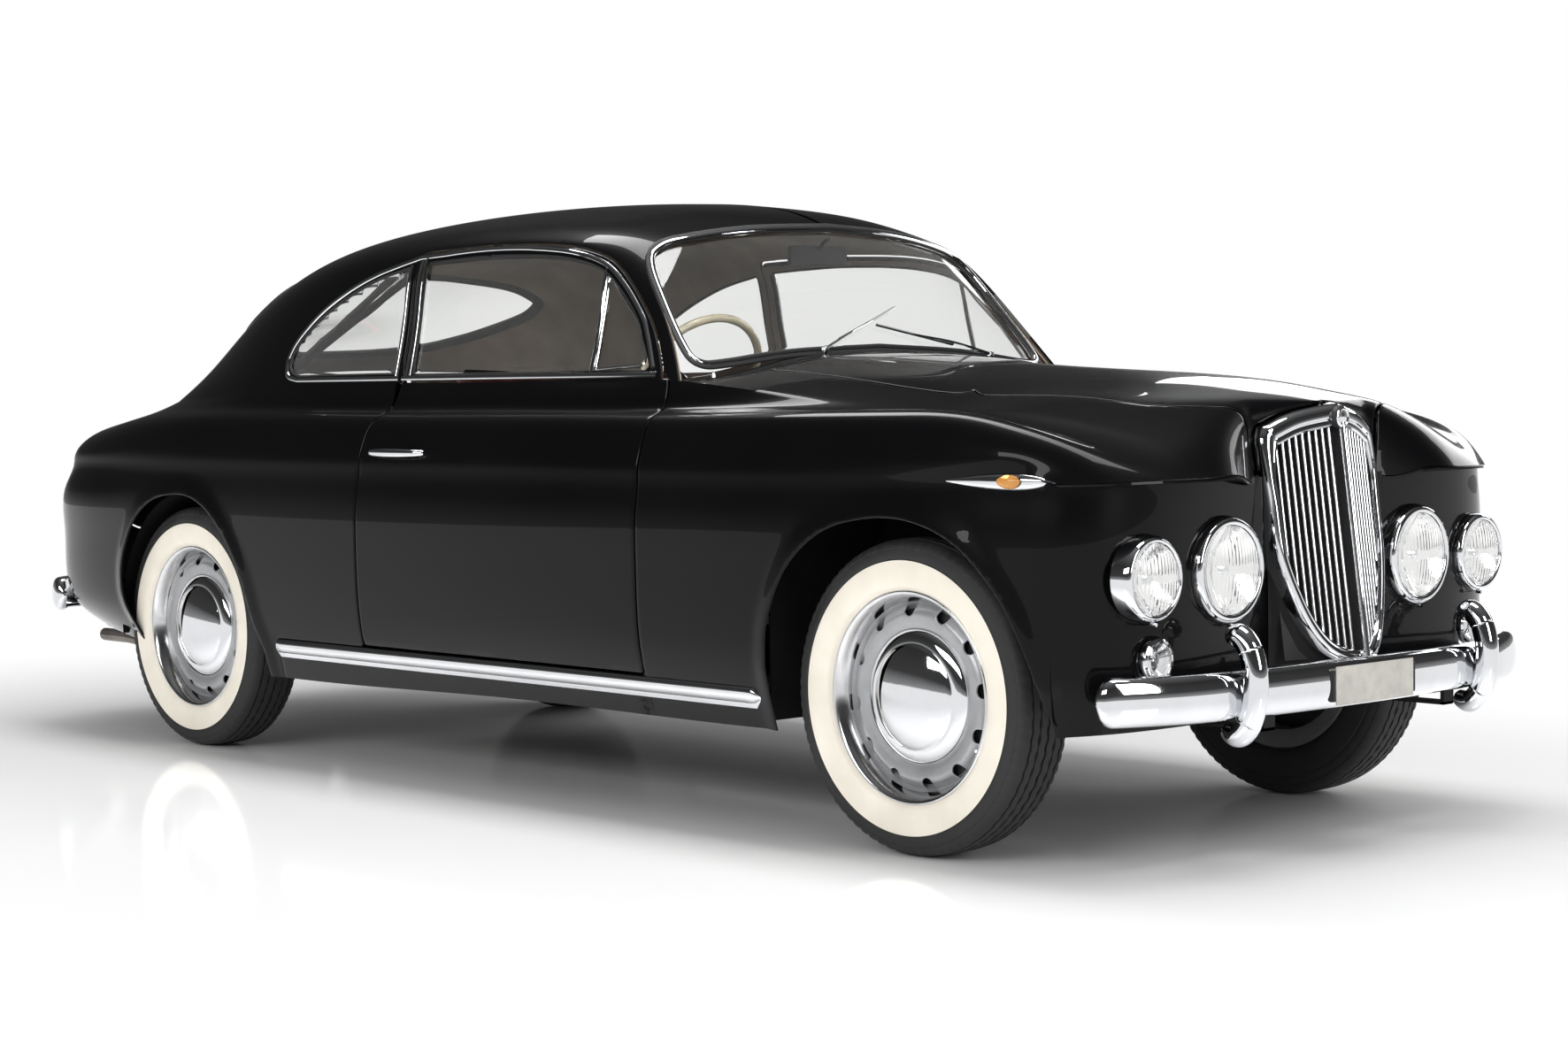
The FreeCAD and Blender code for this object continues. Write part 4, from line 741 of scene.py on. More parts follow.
def arch_line(points):
    """Smooth arch whose two legs stay straight."""
    return [points[0]] + smooth(points[1:-1]) + [points[-1]]


def rounded_outline(points, radius):
    return [tuple(p) for p in rounded(points, radius)]


def seen_from_side(points, low=400):
    """Outline in X and Z that cuts the left side only, beyond Y = low."""
    return Outline(points, [0, 2], low=low, along=1)


door_lower = seen_from_side(DOOR_LOWER)
door_frame = seen_from_side([DOOR_FRAME[0]] + smooth(DOOR_FRAME[1:-2])
                            + rounded_outline(DOOR_FRAME[-3:], 18)[1:])
pane_points = rounded_outline([DOOR_PANE[0]] + smooth(DOOR_PANE[1:-1], 5) + [DOOR_PANE[-1]], 14)
door_pane = seen_from_side(pane_points)
quarter_points = rounded_outline([QUARTER_PANE[0], QUARTER_PANE[1]] + smooth(QUARTER_PANE[1:])[1:], 12)
quarter_pane = seen_from_side(quarter_points)
front_arch = seen_from_side(arch_line(FRONT_ARCH), 300)
rear_arch = seen_from_side(arch_line(REAR_ARCH), 300)
bonnet_half = smooth(BONNET_HALF[:7], 5) + rounded_outline(BONNET_HALF[6:], 40)[1:]
bonnet_edge = Outline(symmetric([(y, x) for y, x in bonnet_half]), [1, 0])
boot_edge = Outline(symmetric(smooth(BOOT_HALF)), [1, 2], high=-1850)
rear_pane_ring = symmetric(smooth(REAR_PANE_HALF))
rear_pane = Outline(rear_pane_ring, [1, 2], high=-1060)
screen_outline = symmetric(smooth(SCREEN_HALF, 5))
screen_edge = Outline(screen_outline, [1, 2], low=300)


GRILLE_HALF = [(0, 967), (110, 948), (188, 918), (201, 886), (198, 809), (194, 752), (187, 632),
               (146, 511), (102, 443), (48, 411), (0, 405)]
GRILLE_LOW, GRILLE_HIGH, GRILLE_VEE = (2105.0, 422.0), (2041.0, 909.0), 0.31
GRILLE_SLOPE = (GRILLE_HIGH[0] - GRILLE_LOW[0])/(GRILLE_HIGH[1] - GRILLE_LOW[1])
grille_ring = symmetric(smooth(GRILLE_HALF[:3])[:-1] + smooth(GRILLE_HALF[2:]))
grille_edge = Outline(grille_ring, [1, 2], low=NOSE_X)
NECK, NECK_REACH, GRILLE_SIDE = 26.0, 230.0, 203


def tuck(sheet):
    """Draw the nose in beside the grille, so that the grille's shell stands proud of it."""
    p = sheet.points
    away = -grille_edge.depth(p)
    share = np.clip(1 - away/NECK_REACH, 0, 1)
    share = np.where(p[:, 0] > NOSE_X, share**1.7, 0.0)
    across = np.minimum(np.abs(p[:, 1]), GRILLE_SIDE)
    face = GRILLE_LOW[0] + GRILLE_SLOPE*(p[:, 2] - GRILLE_LOW[1]) - GRILLE_VEE*across
    push = np.clip(p[:, 0] - (face - NECK), 0, None)
    sheet.points = p - np.stack([push*share, 0*share, 0*share], axis=1)
    return sheet


class Disc:
    """Round hole along X at a lamp, for depth()."""

    def __init__(self, lamp):
        (_, self.y, self.z), self.r = lamp

    def depth(self, p):
        return self.r - np.hypot(p[:, 1] - self.y, p[:, 2] - self.z)


class Below:
    """Everything under a height between two X values, for depth()."""

    def __init__(self, x0, x1, z):
        self.x0, self.x1, self.z = x0, x1, z

    def depth(self, p):
        return np.minimum(np.minimum(p[:, 0] - self.x0, self.x1 - p[:, 0]), self.z - p[:, 2])


ARCH_FLARE, FLARE_REACH = 7.0, 52.0


def flare(sheet, arch):
    """Swell the body outwards round a wheel arch."""
    d = np.clip(-arch.depth(sheet.points)/FLARE_REACH, 0, 1)
    swell = ARCH_FLARE*(1 - d)**2*(1 + 2*d)
    near = (np.abs(sheet.points[:, 1]) > 300) & (sheet.points[:, 2] < 800)
    sheet.points = sheet.points + sheet.normals*(swell*near)[:, None]
    return sheet


LOWER_ROWS = rows_of(lower_rib, 0.0, LOWER_STEPS[-1], 34)
SHOULDER_ROWS = rows_of(shoulder_rib, 0.0, SHOULDER_STEPS[-1], 30)
ROOF_ROWS = rows_of(roof_rib, 0.0, ROOF_STEPS[-1], 52)
DECK_ROWS = rows_of(deck_rib, 0.0, DECK_STEPS[-1], 40)


def centred(sheet):
    """Turn the normals on the centre plane into it, so that the halves join smoothly."""
    at = np.abs(sheet.points[:, 1]) < 0.5
    sheet.normals[at, 1] = 0
    size = np.linalg.norm(sheet.normals, axis=1)
    size[size < 1e-6] = 1
    sheet.normals = sheet.normals/size[:, None]
    return sheet


# ---- Body panels ----

brow_stations = spread(STATIONS[LIP], STATIONS[LIP + 2], 7)
wing_stations = spread(STATIONS[LIP + 2], station_at(590), 11)[1:]
door_stations = spread(station_at(645), station_at(-1000), 16)
roof_stations = spread(STATIONS[COWL], station_at(-460), 12)
tail_stations = spread(station_at(-460), STATIONS[TAIL], 13)
front_skin = tuck(centred(sheet_of(brow_stations + wing_stations, [LOWER_ROWS, SHOULDER_ROWS, DECK_ROWS])))
side_skin = centred(sheet_of(door_stations, [LOWER_ROWS, SHOULDER_ROWS]))
roof_skin = centred(sheet_of(roof_stations, [ROOF_ROWS]))
tail_skin = centred(sheet_of(tail_stations, [LOWER_ROWS, SHOULDER_ROWS, ROOF_ROWS]))

HOLE_PLAY, GRILLE_PLAY = 0.3, 0.5
SILL_X, SILL_Z = -905, 343


def copy_of(sheet):
    return Sheet(sheet.points.copy(), sheet.normals.copy(), [list(f) for f in sheet.faces])


def pair(sheet):
    return [sheet, mirror_sheet(sheet)]


bonnet = trim(copy_of(front_skin), keep=[(bonnet_edge, 0)], drop=[(grille_edge, SHUT_GAP)])
panel("bonnet_panel", pair(bonnet), 5, "bonnet", ["bonnet"], [PAINT, UNDERCOAT])

wing = trim(flare(copy_of(front_skin), front_arch),
            drop=[(bonnet_edge, SHUT_GAP), (front_arch, 0), (door_lower, SHUT_GAP),
                  (Disc(DIP_LAMP), HOLE_PLAY), (grille_edge, GRILLE_PLAY)])
panel("front_body", pair(wing), 5, "body", ["front_wing_left", "front_wing_right"], [PAINT, UNDERCOAT])

tail = trim(flare(copy_of(tail_skin), rear_arch),
            drop=[(rear_arch, 0), (rear_pane, 0), (boot_edge, SHUT_GAP), (quarter_pane, 0),
                  (door_lower, SHUT_GAP), (door_frame, SHUT_GAP), (Below(SILL_X - 0.3, 700, SILL_Z + 0.3), 0),
                  (Disc(TAIL_LAMP), HOLE_PLAY)])
top = trim(copy_of(roof_skin), drop=[(door_lower, SHUT_GAP), (door_frame, SHUT_GAP), (screen_edge, 4)])
shell = panel("body_shell", pair(tail) + pair(top), 8, "body",
              ["rear_quarter_left", "rear_quarter_right", "roof"], [PAINT, LINING], weld=0.3)
# Inside, the lining ends at the belt and undercoat goes on below it
LINING_END = 0.93
shell.data.materials.append(UNDERCOAT)
for poly in shell.data.polygons:
    if poly.material_index == 1 and poly.center.z < LINING_END:
        poly.material_index = 2

boot = trim(copy_of(tail_skin), keep=[(boot_edge, 0)])
panel("boot_panel", pair(boot), 5, "boot_lid", ["boot_lid"], [PAINT, UNDERCOAT])

sill = trim(copy_of(side_skin), keep=[(Below(SILL_X, 640, SILL_Z), 0)], roll=1.5)
panel("sill_panels", pair(sill), 30, "body", ["sills"], [PAINT, UNDERCOAT], sideways=True)

for label, sign in SIDES:
    lower = trim(copy_of(side_skin), keep=[(door_lower, 0)])
    frame_part = trim(copy_of(roof_skin), keep=[(door_frame, 0)], drop=[(door_pane, 0)])
    if sign < 0:
        lower, frame_part = mirror_sheet(lower), mirror_sheet(frame_part)
    door = "door_" + label
    panel("door_panel_" + label, [lower], 44, door, [door], [PAINT, LEATHER], sideways=True)
    panel("door_frame_" + label, [frame_part], 16, door, [door], [PAINT, LINING])

# Lamp panel and the shelf under the brow
lamp_stations = spread(STATIONS[0], STATIONS[LIP] + 2, 9)
lamp_skin = trim(sheet_of(lamp_stations, [rows_of(lower_rib, 0.0, LOWER_STEPS[-1], 40)]), drop=[
    (Disc(MAIN_LAMP), HOLE_PLAY), (Disc(DIP_LAMP), HOLE_PLAY), (Disc(PARKING_LAMP), HOLE_PLAY),
    (grille_edge, GRILLE_PLAY)], roll=2.0)


def along(path, share):
    """Point at a share of a path's count of points."""
    at = share*(len(path) - 1)
    k = min(int(at), len(path) - 2)
    return path[k]*(1 - at + k) + path[k + 1]*(at - k)


def brow_shelf(count=60, cols=9):
    """Underside of the brow, from its lip back to the top of the lamp panel."""
    brow = [np.array(shoulder_rib(STATIONS[LIP]).at(SHOULDER_STEPS[-1]*i/20)) for i in range(21)]
    brow += [np.array(deck_rib(STATIONS[LIP]).at(3.0*i/14)) for i in range(1, 15)]
    base = [np.array(waist(s)) for s in spread(STATIONS[0], STATIONS[LIP], 8)][::-1]
    points = []
    for i in range(count + 1):
        lip, foot = along(brow, i/count) + np.array([-3, -1, -2.5]), along(base, i/count)
        points += [lip + (foot - lip)*(k/(cols - 1)) for k in range(cols)]
    normals = np.tile(np.array([0, 0, -1.0]), (len(points), 1))
    return Sheet(np.array(points), normals, grid_faces(count + 1, cols, turned=True))


shelf = trim(tuck(brow_shelf()), drop=[(grille_edge, GRILLE_PLAY)], roll=0)
valance = Sheet(np.array([(1964, y, z) for y in (-178, 178) for z in (300, 392)], float),
                np.array([(1, 0, 0)]*4, float), [[0, 2, 3, 1]])
panel("nose_sheet", pair(lamp_skin) + pair(shelf) + [valance], 5, "body", ["nose_panel"], [PAINT, UNDERCOAT])


# ---- Places on the body's surface ----

def tree_of(sheets):
    points, faces, base = [], [], 0
    for sheet in sheets:
        points += [tuple(p) for p in sheet.points]
        faces += [[i + base for i in f] for f in sheet.faces]
        base += len(sheet.points)
    return BVHTree.FromPolygons(points, faces)


SKIN_TREE = tree_of(pair(front_skin) + pair(side_skin) + pair(roof_skin) + pair(tail_skin))


def skin_spot(start, way, nearest, out):
    """Point where a ray meets the body, out proud of it, and the normal there against the ray."""
    hit, normal, *_ = SKIN_TREE.ray_cast(Vector(start), Vector(way))
    if hit is None:
        hit, normal, *_ = SKIN_TREE.find_nearest(Vector(nearest))
    if normal.dot(Vector(way)) > 0:
        normal = -normal
    return np.array(hit + normal*out), np.array(normal)


def on_side(x, z, sign=1, out=0.0):
    return skin_spot((x, sign*1500, z), (0, -sign, 0), (x, sign*700, z), out)


def on_back(y, z, out=0.0):
    return skin_spot((-3000, y + 0.05, z), (1, 0, 0), (-2400, y, z), out)


def strip(name, spots, width, height, material, body="body", sides=10, closed=True):
    """Flattened bar laid on the body through (point, normal) spots."""
    return tube(name, [p for p, n in spots], width/2, material, body, sides=sides, closed=closed,
                squash=height/width, normal=[n for p, n in spots])


def strip_on_side(name, line, width, height, sign, out=0.0, sides=10, closed=False, material=CHROME,
                  body="body"):
    """Flattened bar laid along X, Z points of the body's side."""
    return strip(name, [on_side(x, z, sign, out) for x, z in line], width, height, material, body, sides,
                 closed)


# ---- Windows and their surrounds ----

SCREEN_OUT = (0.86, 0, 0.5)


def screen_point(u, v, out=0.0):
    half = SCREEN_HALF_LOW + (SCREEN_HALF_HIGH - SCREEN_HALF_LOW)*v
    x = SCREEN_LOW[0] + (SCREEN_HIGH[0] - SCREEN_LOW[0])*v - SCREEN_SWEEP_HIGH*v*u*u
    z = SCREEN_LOW[1] + (SCREEN_HIGH[1] - SCREEN_LOW[1])*v - SCREEN_DROP*u*u
    return (x + out*SCREEN_OUT[0], half*u, z + out*SCREEN_OUT[2])


def screen_at(y, z, out=0.0):
    """Point of the windscreen's surface at Y, Z."""
    u = v = 0.5
    for _ in range(30):
        v = (z - SCREEN_LOW[1] + SCREEN_DROP*u*u)/(SCREEN_HIGH[1] - SCREEN_LOW[1])
        u = y/(SCREEN_HALF_LOW + (SCREEN_HALF_HIGH - SCREEN_HALF_LOW)*v)
    return np.array(screen_point(u, v, out))


def grid_sheet(make, us, vs):
    arr = np.array([make(u, v) for u in us for v in vs], float)
    grid = arr.reshape(len(us), len(vs), 3)
    normals = np.cross(np.gradient(grid, axis=0), np.gradient(grid, axis=1)).reshape(-1, 3)
    normals = normals/np.linalg.norm(normals, axis=1)[:, None]
    return Sheet(arr, normals, grid_faces(len(us), len(vs)))


def evenly(a, b, n):
    return [a + (b - a)*i/n for i in range(n + 1)]


def moved_in(sheet, depth):
    sheet.points = sheet.points - sheet.normals*depth
    return sheet


GLASS_T, GLASS_ROLL, GLASS_PLAY = 4.6, 0.5, -0.3
screen_sheet = grid_sheet(lambda u, v: screen_point(u, v, -6), evenly(-1.06, 1.06, 60), evenly(-0.1, 1.1, 26))
screen_glass = trim(screen_sheet, keep=[(screen_edge, GLASS_PLAY)], roll=GLASS_ROLL)
panel("windscreen_glass", [screen_glass], GLASS_T, "body", ["windscreen"], [WINDOW])

for label, sign in SIDES:
    pane = trim(moved_in(copy_of(roof_skin), 8), keep=[(door_pane, 3)], roll=GLASS_ROLL)
    if sign < 0:
        pane = mirror_sheet(pane)
    panel("door_window_" + label, [pane], GLASS_T, "door_" + label, ["door_glass_" + label], [WINDOW])

rear_glass = trim(moved_in(copy_of(tail_skin), 4), keep=[(rear_pane, GLASS_PLAY)], roll=GLASS_ROLL)
side_glass = trim(moved_in(copy_of(tail_skin), 4), keep=[(quarter_pane, GLASS_PLAY)], roll=GLASS_ROLL)
panel("rear_window_glass", pair(rear_glass) + pair(side_glass), GLASS_T, "body", ["rear_windows"], [WINDOW])


def screen_ring(name, grow, out, width, height, mat):
    """Bar round the windscreen, grow outside its outline."""
    ring = screen_outline
    pts = []
    for i, (y, z) in enumerate(ring):
        a, b = ring[i - 1], ring[(i + 1) % len(ring)]
        ty, tz = b[0] - a[0], b[1] - a[1]
        size = math.hypot(ty, tz) or 1
        pts.append(screen_at(y + tz/size*grow, z - ty/size*grow, out))
    return tube(name, pts, width/2, mat, sides=10, closed=True, squash=height/width, normal=SCREEN_OUT)


screen_ring("screen_seal", 8, 0, 26, 12, SEAL)
screen_ring("screen_trim", 5, 6, 12, 7, CHROME)
strip("rear_window_trim", [on_back(y, z, 1) for y, z in rear_pane_ring], 14, 8.4, CHROME)
strip("rear_window_seal", [on_back(y, z, -6) for y, z in rear_pane_ring], 38, 22.8, SEAL)

# ---- Wheels and tyres ----

TYRE_PROFILE = [(56, 216.5), (60, 221), (64, 228), (68.5, 232.6), (73.5, 236), (78.0, 243), (80.8, 260),
                (82.2, 278), (82.0, 291), (81.4, 296.4), (80.4, 297.4), (79.6, 299.0), (80.2, 300.6),
                (79.4, 308), (77.2, 318), (75.6, 321), (76.2, 323), (74.4, 328), (70.5, 333), (65.0, 337.4),
                (60.0, 339.6), (53.0, 341.2), (50.5, 341.6), (49.5, 335.8), (45.0, 335.8), (44.0, 342.4),
                (28.0, 343.3), (27.0, 336.8), (22.5, 336.8), (21.5, 343.5), (4.0, 344.0), (3.0, 337.2),
                (-3.0, 337.2), (-4.0, 344.0)]
# Points of the profile's half that are cut across every third step, and that the tread's wave moves
SIPED = {16, 17, 18, 19, 20}
RIBS = {25: 1.0, 26: 1.0, 29: -1.0, 30: -1.0, 22: 0.6}
SIPE_DEPTH, WAVE = 2.6, 1.6
TYRE_COUNT = 240


def tyre_mesh():
    half = TYRE_PROFILE[:-2]
    profile = half + [(-a, r) for a, r in half[::-1]]
    n = len(profile)
    points = []
    for k in range(TYRE_COUNT):
        w = 2*math.pi*k/TYRE_COUNT
        for i, (a, r) in enumerate(profile):
            j = min(i, n - 1 - i)
            if j in SIPED and k % 3 == 0:
                r -= SIPE_DEPTH
            if j in RIBS:
                a += RIBS[j]*WAVE*(1 if k % 4 < 2 else -1)
            points.append((r*math.sin(w), a, -r*math.cos(w)))
    white = [2 <= i <= 8 for i in range(n)]*TYRE_COUNT
    return points, grid_faces(TYRE_COUNT, n, True, True), white


def placed(part, centre, sign):
    points, faces = part
    return [(centre[0] + x, centre[1] + sign*y, centre[2] + z) for x, y, z in points], handed(faces, sign)


class Ring:
    """Round hole along Y at X, Z, for depth()."""

    def __init__(self, x, z, r):
        self.x, self.z, self.r = x, z, r

    def depth(self, p):
        return self.r - np.hypot(p[:, 0] - self.x, p[:, 2] - self.z)


NOTCHES, NOTCH_R, NOTCH_AT = 12, 16.0, 191.0
DISC_PROFILE = [(132, 33), (150, 36), (160, 38.5), (170, 40), (178, 40.5), (184, 39), (190, 35), (196, 28.5),
                (200, 24), (203, 22)]
DISC_COUNT, DISC_T = 192, 3.0


def disc_part():
    """Pressed disc with half-round notches in its outer edge, as (points, faces)."""
    fine = curve_through(DISC_PROFILE, 3)
    turns = [2*math.pi*k/DISC_COUNT for k in range(DISC_COUNT)]
    pts = np.array([(r*math.cos(w), a, r*math.sin(w)) for w in turns for r, a in fine])
    faces = grid_faces(DISC_COUNT, len(fine), True, turned=True)
    holes = [(Ring(NOTCH_AT*math.cos(t), NOTCH_AT*math.sin(t), NOTCH_R), 0)
             for t in [2*math.pi*(k + 0.25)/NOTCHES for k in range(NOTCHES)]]
    sheet = trim(Sheet(pts, np.tile([0, 1.0, 0], (len(pts), 1)), faces), drop=holes, roll=1.6)
    n = len(sheet.points)
    points = [tuple(p) for p in sheet.points] + [tuple(p) for p in sheet.points - np.array([0, DISC_T, 0])]
    return points, sheet.faces + second_layer(sheet.faces, n) + rim_between(sheet.faces, n)


CAP_PROFILE = [(0, 74), (15, 73.8), (35, 72.6), (60, 69.4), (85, 64.0), (104, 57.6), (112, 54.0),
               (114.5, 52.2), (116, 51.8), (118, 52.0), (128, 49.5), (138, 45.5), (144, 41.5),
               (147.5, 37.5), (148.5, 34), (147, 31)]
RING_PROFILE = [(199, 17), (201, 20.5), (203, 26), (206, 35), (209, 44), (212, 51), (215, 57.5), (218, 62.5),
                (221, 66.5), (224.5, 69.2), (228, 70.2), (231, 69.4), (232.4, 67.2), (231.5, 64.8),
                (228, 63.5), (222, 61)]
WELL_PROFILE = [(222, 60), (213, 52), (204, 20), (196, 10), (190, -10), (192, -50), (212, -58), (230, -66),
                (226, -70), (205, -62), (186, -52), (184, -8), (188, 14), (198, 22)]


def spun_y(profile, count=128, closed=False):
    return spun([(a, r) for r, a in profile], (0, 0, 0), 1, count, closed)


*tyre_form, tyre_white = tyre_mesh()
disc = disc_part()
cap, ring, well = spun_y(CAP_PROFILE), spun_y(RING_PROFILE), spun_y(WELL_PROFILE, 96, True)
# Black ring just behind the disc: painted shade seen through its notches
shade = spun_y([(146, 24), (203, 14)], 64)
valve = bar([(168, 20, -96), (174, 34, -99), (180, 48, -102)], 4.0)
for end, x, track in (("front", WHEELBASE/2, TRACK_FRONT), ("rear", -WHEELBASE/2, TRACK_REAR)):
    for side, sign in SIDES:
        centre = (x, sign*track/2, WHEEL_Z)
        tag = end + "_" + side
        body = "road_wheel_" + tag
        tyre = new_object("tyre_" + tag + "_shown", *placed(tyre_form, centre, sign))
        tyre.data.materials.append(RUBBER)
        tyre.data.materials.append(WHITEWALL)
        tyre.data.polygons.foreach_set("material_index", [int(is_white) for is_white in tyre_white])
        tyre.data.set_sharp_from_angle(angle=math.radians(32))
        dress(tyre, None, body, ["tyre_" + tag])
        merged("wheel_disc_" + tag, [placed(disc, centre, sign), placed(well, centre, sign)], SILVER, body,
               ["wheel_" + tag])
        for name, form, finish, angle in (("wheel_ring_", ring, POLISHED, 50), ("hub_cap_", cap, CHROME, 28),
                                          ("wheel_shade_", shade, SEAL, 35), ("valve_", valve, CHROME, 35)):
            merged(name + tag, [placed(form, centre, sign)], finish, body, angle=angle)

# Strip over each rear wheel that closes the gap between the body's arch and the inner apron
HOUSING_R, HOUSING_Y, HOUSING_T, HOUSING_COLS = 388.0, (553.0, 724.0), 3, 41
turns = [math.radians(-6 + 192*k/(HOUSING_COLS - 1)) for k in range(HOUSING_COLS)]
housing = [(-WHEELBASE/2 + HOUSING_R*math.cos(w), y, WHEEL_Z + HOUSING_R*math.sin(w))
           for y in HOUSING_Y for w in turns]
strip_faces = grid_faces(2, HOUSING_COLS, turned=True)
closing = (housing + [(x, y, z + HOUSING_T) for x, y, z in housing],
           strip_faces + second_layer(strip_faces, len(housing)))
merged("rear_wheel_housings", both(closing), UNDERCOAT)

# ---- Grille ----

GRILLE_WIDE, GRILLE_NARROW = 50.0, 26.0
GRILLE_MIDDLE_Z = 690


def grille_x(y, z):
    return GRILLE_LOW[0] + GRILLE_SLOPE*(z - GRILLE_LOW[1]) - GRILLE_VEE*math.sqrt(y*y + 60) + 2.4


def inset_ring(ring, widths):
    """The ring moved in towards the grille's middle, by one width a point."""
    out = []
    n = len(ring)
    for i, (y, z) in enumerate(ring):
        (ay, az), (by, bz) = ring[i - 2], ring[(i + 2) % n]
        ty, tz = by - ay, bz - az
        size = math.hypot(ty, tz) or 1
        ny, nz = tz/size, -ty/size
        if (ny*(0 - y) + nz*(GRILLE_MIDDLE_Z - z)) < 0:
            ny, nz = -ny, -nz
        out.append((y + ny*widths[i], z + nz*widths[i]))
    return out


def frame_width(z):
    """Width of the shell's face, widest at its crest."""
    share = min(1, max(0, (z - 800)/120))
    low = min(1, max(0, (520 - z)/90))
    return GRILLE_NARROW + (GRILLE_WIDE - GRILLE_NARROW)*share*share*(3 - 2*share) + 6*low


# Section of the shell: share of its width, and how far it stands out
SHELL_PROFILE = [(0.0, -46), (0.0, -22), (0.01, -12), (0.05, -5), (0.14, -0.5), (0.28, 2.0), (0.44, 2.4),
                 (0.58, 1.0), (0.62, -2.0), (0.68, -3.0), (0.76, -1.6), (0.88, -2.5), (0.96, -6),
                 (1.0, -12), (1.0, -34)]
shell_widths = [frame_width(z) for y, z in grille_ring]


def grille_shell():
    points = []
    for share, out in SHELL_PROFILE:
        row = inset_ring(grille_ring, [w*share for w in shell_widths])
        points += [(grille_x(y, z) + out, y, z) for y, z in row]
    return points, grid_faces(len(SHELL_PROFILE), len(grille_ring), False, True, True)


inner_edge = Outline(inset_ring(grille_ring, shell_widths), [1, 2])


def heights_inside(y):
    """Lowest and highest Z inside the shell's inner edge at Y."""
    zs = np.arange(400, 970, 1.0)
    d = inner_edge.depth(np.array([(0, y, z) for z in zs]))
    inside = zs[d > 0.5]
    return (inside[0], inside[-1]) if len(inside) > 5 else None


def blade(y, sign, width=8.6, depth=24.0, steps=16):
    """Vertical blade with a rounded leading edge, following the grille's rake."""
    span = heights_inside(y)
    if span is None:
        return [], []
    low, high = span[0] - 6, span[1] + 6
    section = [(-depth, -1.1), (-11, -1.6), (-7.5, -width*0.4), (-4.5, -width/2), (-1.8, -width*0.42),
               (-0.4, -width*0.2), (0, 0), (-0.4, width*0.2), (-1.8, width*0.42), (-4.5, width/2),
               (-7.5, width*0.4), (-11, 1.6), (-depth, 1.1)]
    points = []
    for z in evenly(low, high, steps):
        points += [(grille_x(y, z) - 9 + a, sign*(y + b), z) for a, b in section]
    n = len(section)
    faces = handed(grid_faces(steps + 1, n, False, True, True), sign)
    return points, faces + grid_ends(steps + 1, n)


merged("grille_shell", [grille_shell()], CHROME, "body", ["grille_frame"])
blades = [blade(9 + 17.0*(k + 0.75), sign) for k in range(10) for sign in (1, -1)]
merged("grille_blades", [b for b in blades if b[0]], POLISHED, "body", ["grille_slats"])
tube("grille_rib", [(grille_x(0, z) + 1.5, 0, z) for z in evenly(424, 925, 24)], 6.5, CHROME, squash=1.3,
     normal=(1, 0, 0))
# Black sheet behind the blades: painted shade seen between them
shade_sheet = [(grille_x(0, z) - 40 - GRILLE_VEE*abs(y), y, z)
           for z in evenly(420, 940, 12) for y in (-165, 0, 165)]
shade_sheet_faces = grid_faces(13, 3, turned=True)
merged("grille_shade_sheet", [(shade_sheet + [(x - 3, y, z) for x, y, z in shade_sheet],
                           shade_sheet_faces + second_layer(shade_sheet_faces, len(shade_sheet)))], SEAL)
boss = [(-30, 0), (-30, 23), (2, 23.5), (8, 23), (10.5, 20.5), (11, 18), (8.6, 16.4), (8.4, 10), (9.6, 4),
        (9.8, 0)]
boss_seat = [(-4, 25.5), (7, 25.5), (7.5, 23), (-4, 23)]
for name, section, finish in (("grille_boss_seat", boss_seat, SEAL), ("grille_boss", boss, CHROME)):
    merged(name, [spun_x(section, (grille_x(0, 936), 0, 936), 48)], finish)

NOSE_INNER = (1978.5, 180.0)
FLANK = [(0, 405), (48, 411), (102, 443), (146, 511), (187, 632)]


def nose_fillet(u, v):
    """Painted skin that joins the lamp panel to the grille's lower flank."""
    z = 404 + 230*v
    edge = max(0.0, float(np.interp(z, [b for a, b in FLANK], [a for a, b in FLANK])) - 4)
    bend = u*u*(3 - 2*u)
    return (NOSE_INNER[0] + (grille_x(edge, z) - 38 - NOSE_INNER[0])*bend,
            NOSE_INNER[1] + (edge - NOSE_INNER[1])*u, z)


panel("nose_fillets", pair(grid_sheet(nose_fillet, evenly(0, 1, 10), evenly(0, 1, 24))), 4, "body", [],
      [PAINT, UNDERCOAT])

# ---- Bumpers and overriders ----

FRONT_BUMPER = [(0, 2125), (130, 2124), (250, 2120), (350, 2114), (450, 2105), (540, 2088), (620, 2062),
                (690, 2032), (750, 1999)]
REAR_BUMPER = [(0, -2430), (250, -2424), (450, -2402), (560, -2374), (640, -2335), (700, -2280), (730, -2200)]
BAR_HALF, BAR_DEPTH = 51.0, 34.0


def bar_side(high, depth, back):
    """Rounded half of the bumper's section, from its lower edge to its upper."""
    return [(back - depth + depth*math.cos(w)**0.5, BAR_HALF + high*math.sin(w))
            for w in [math.radians(-89 + 178*k/26) for k in range(27)]]


BAR_PROFILE = bar_side(BAR_HALF, BAR_DEPTH, 0) + bar_side(BAR_HALF - 3.5, BAR_DEPTH - 4.5, -4.5)[::-1]


def rounded_end(distance, radius):
    """Share of the full size at a distance from an end, as on a quarter circle."""
    return math.sqrt(max(0.0, 1 - (1 - min(1, distance/radius))**2))


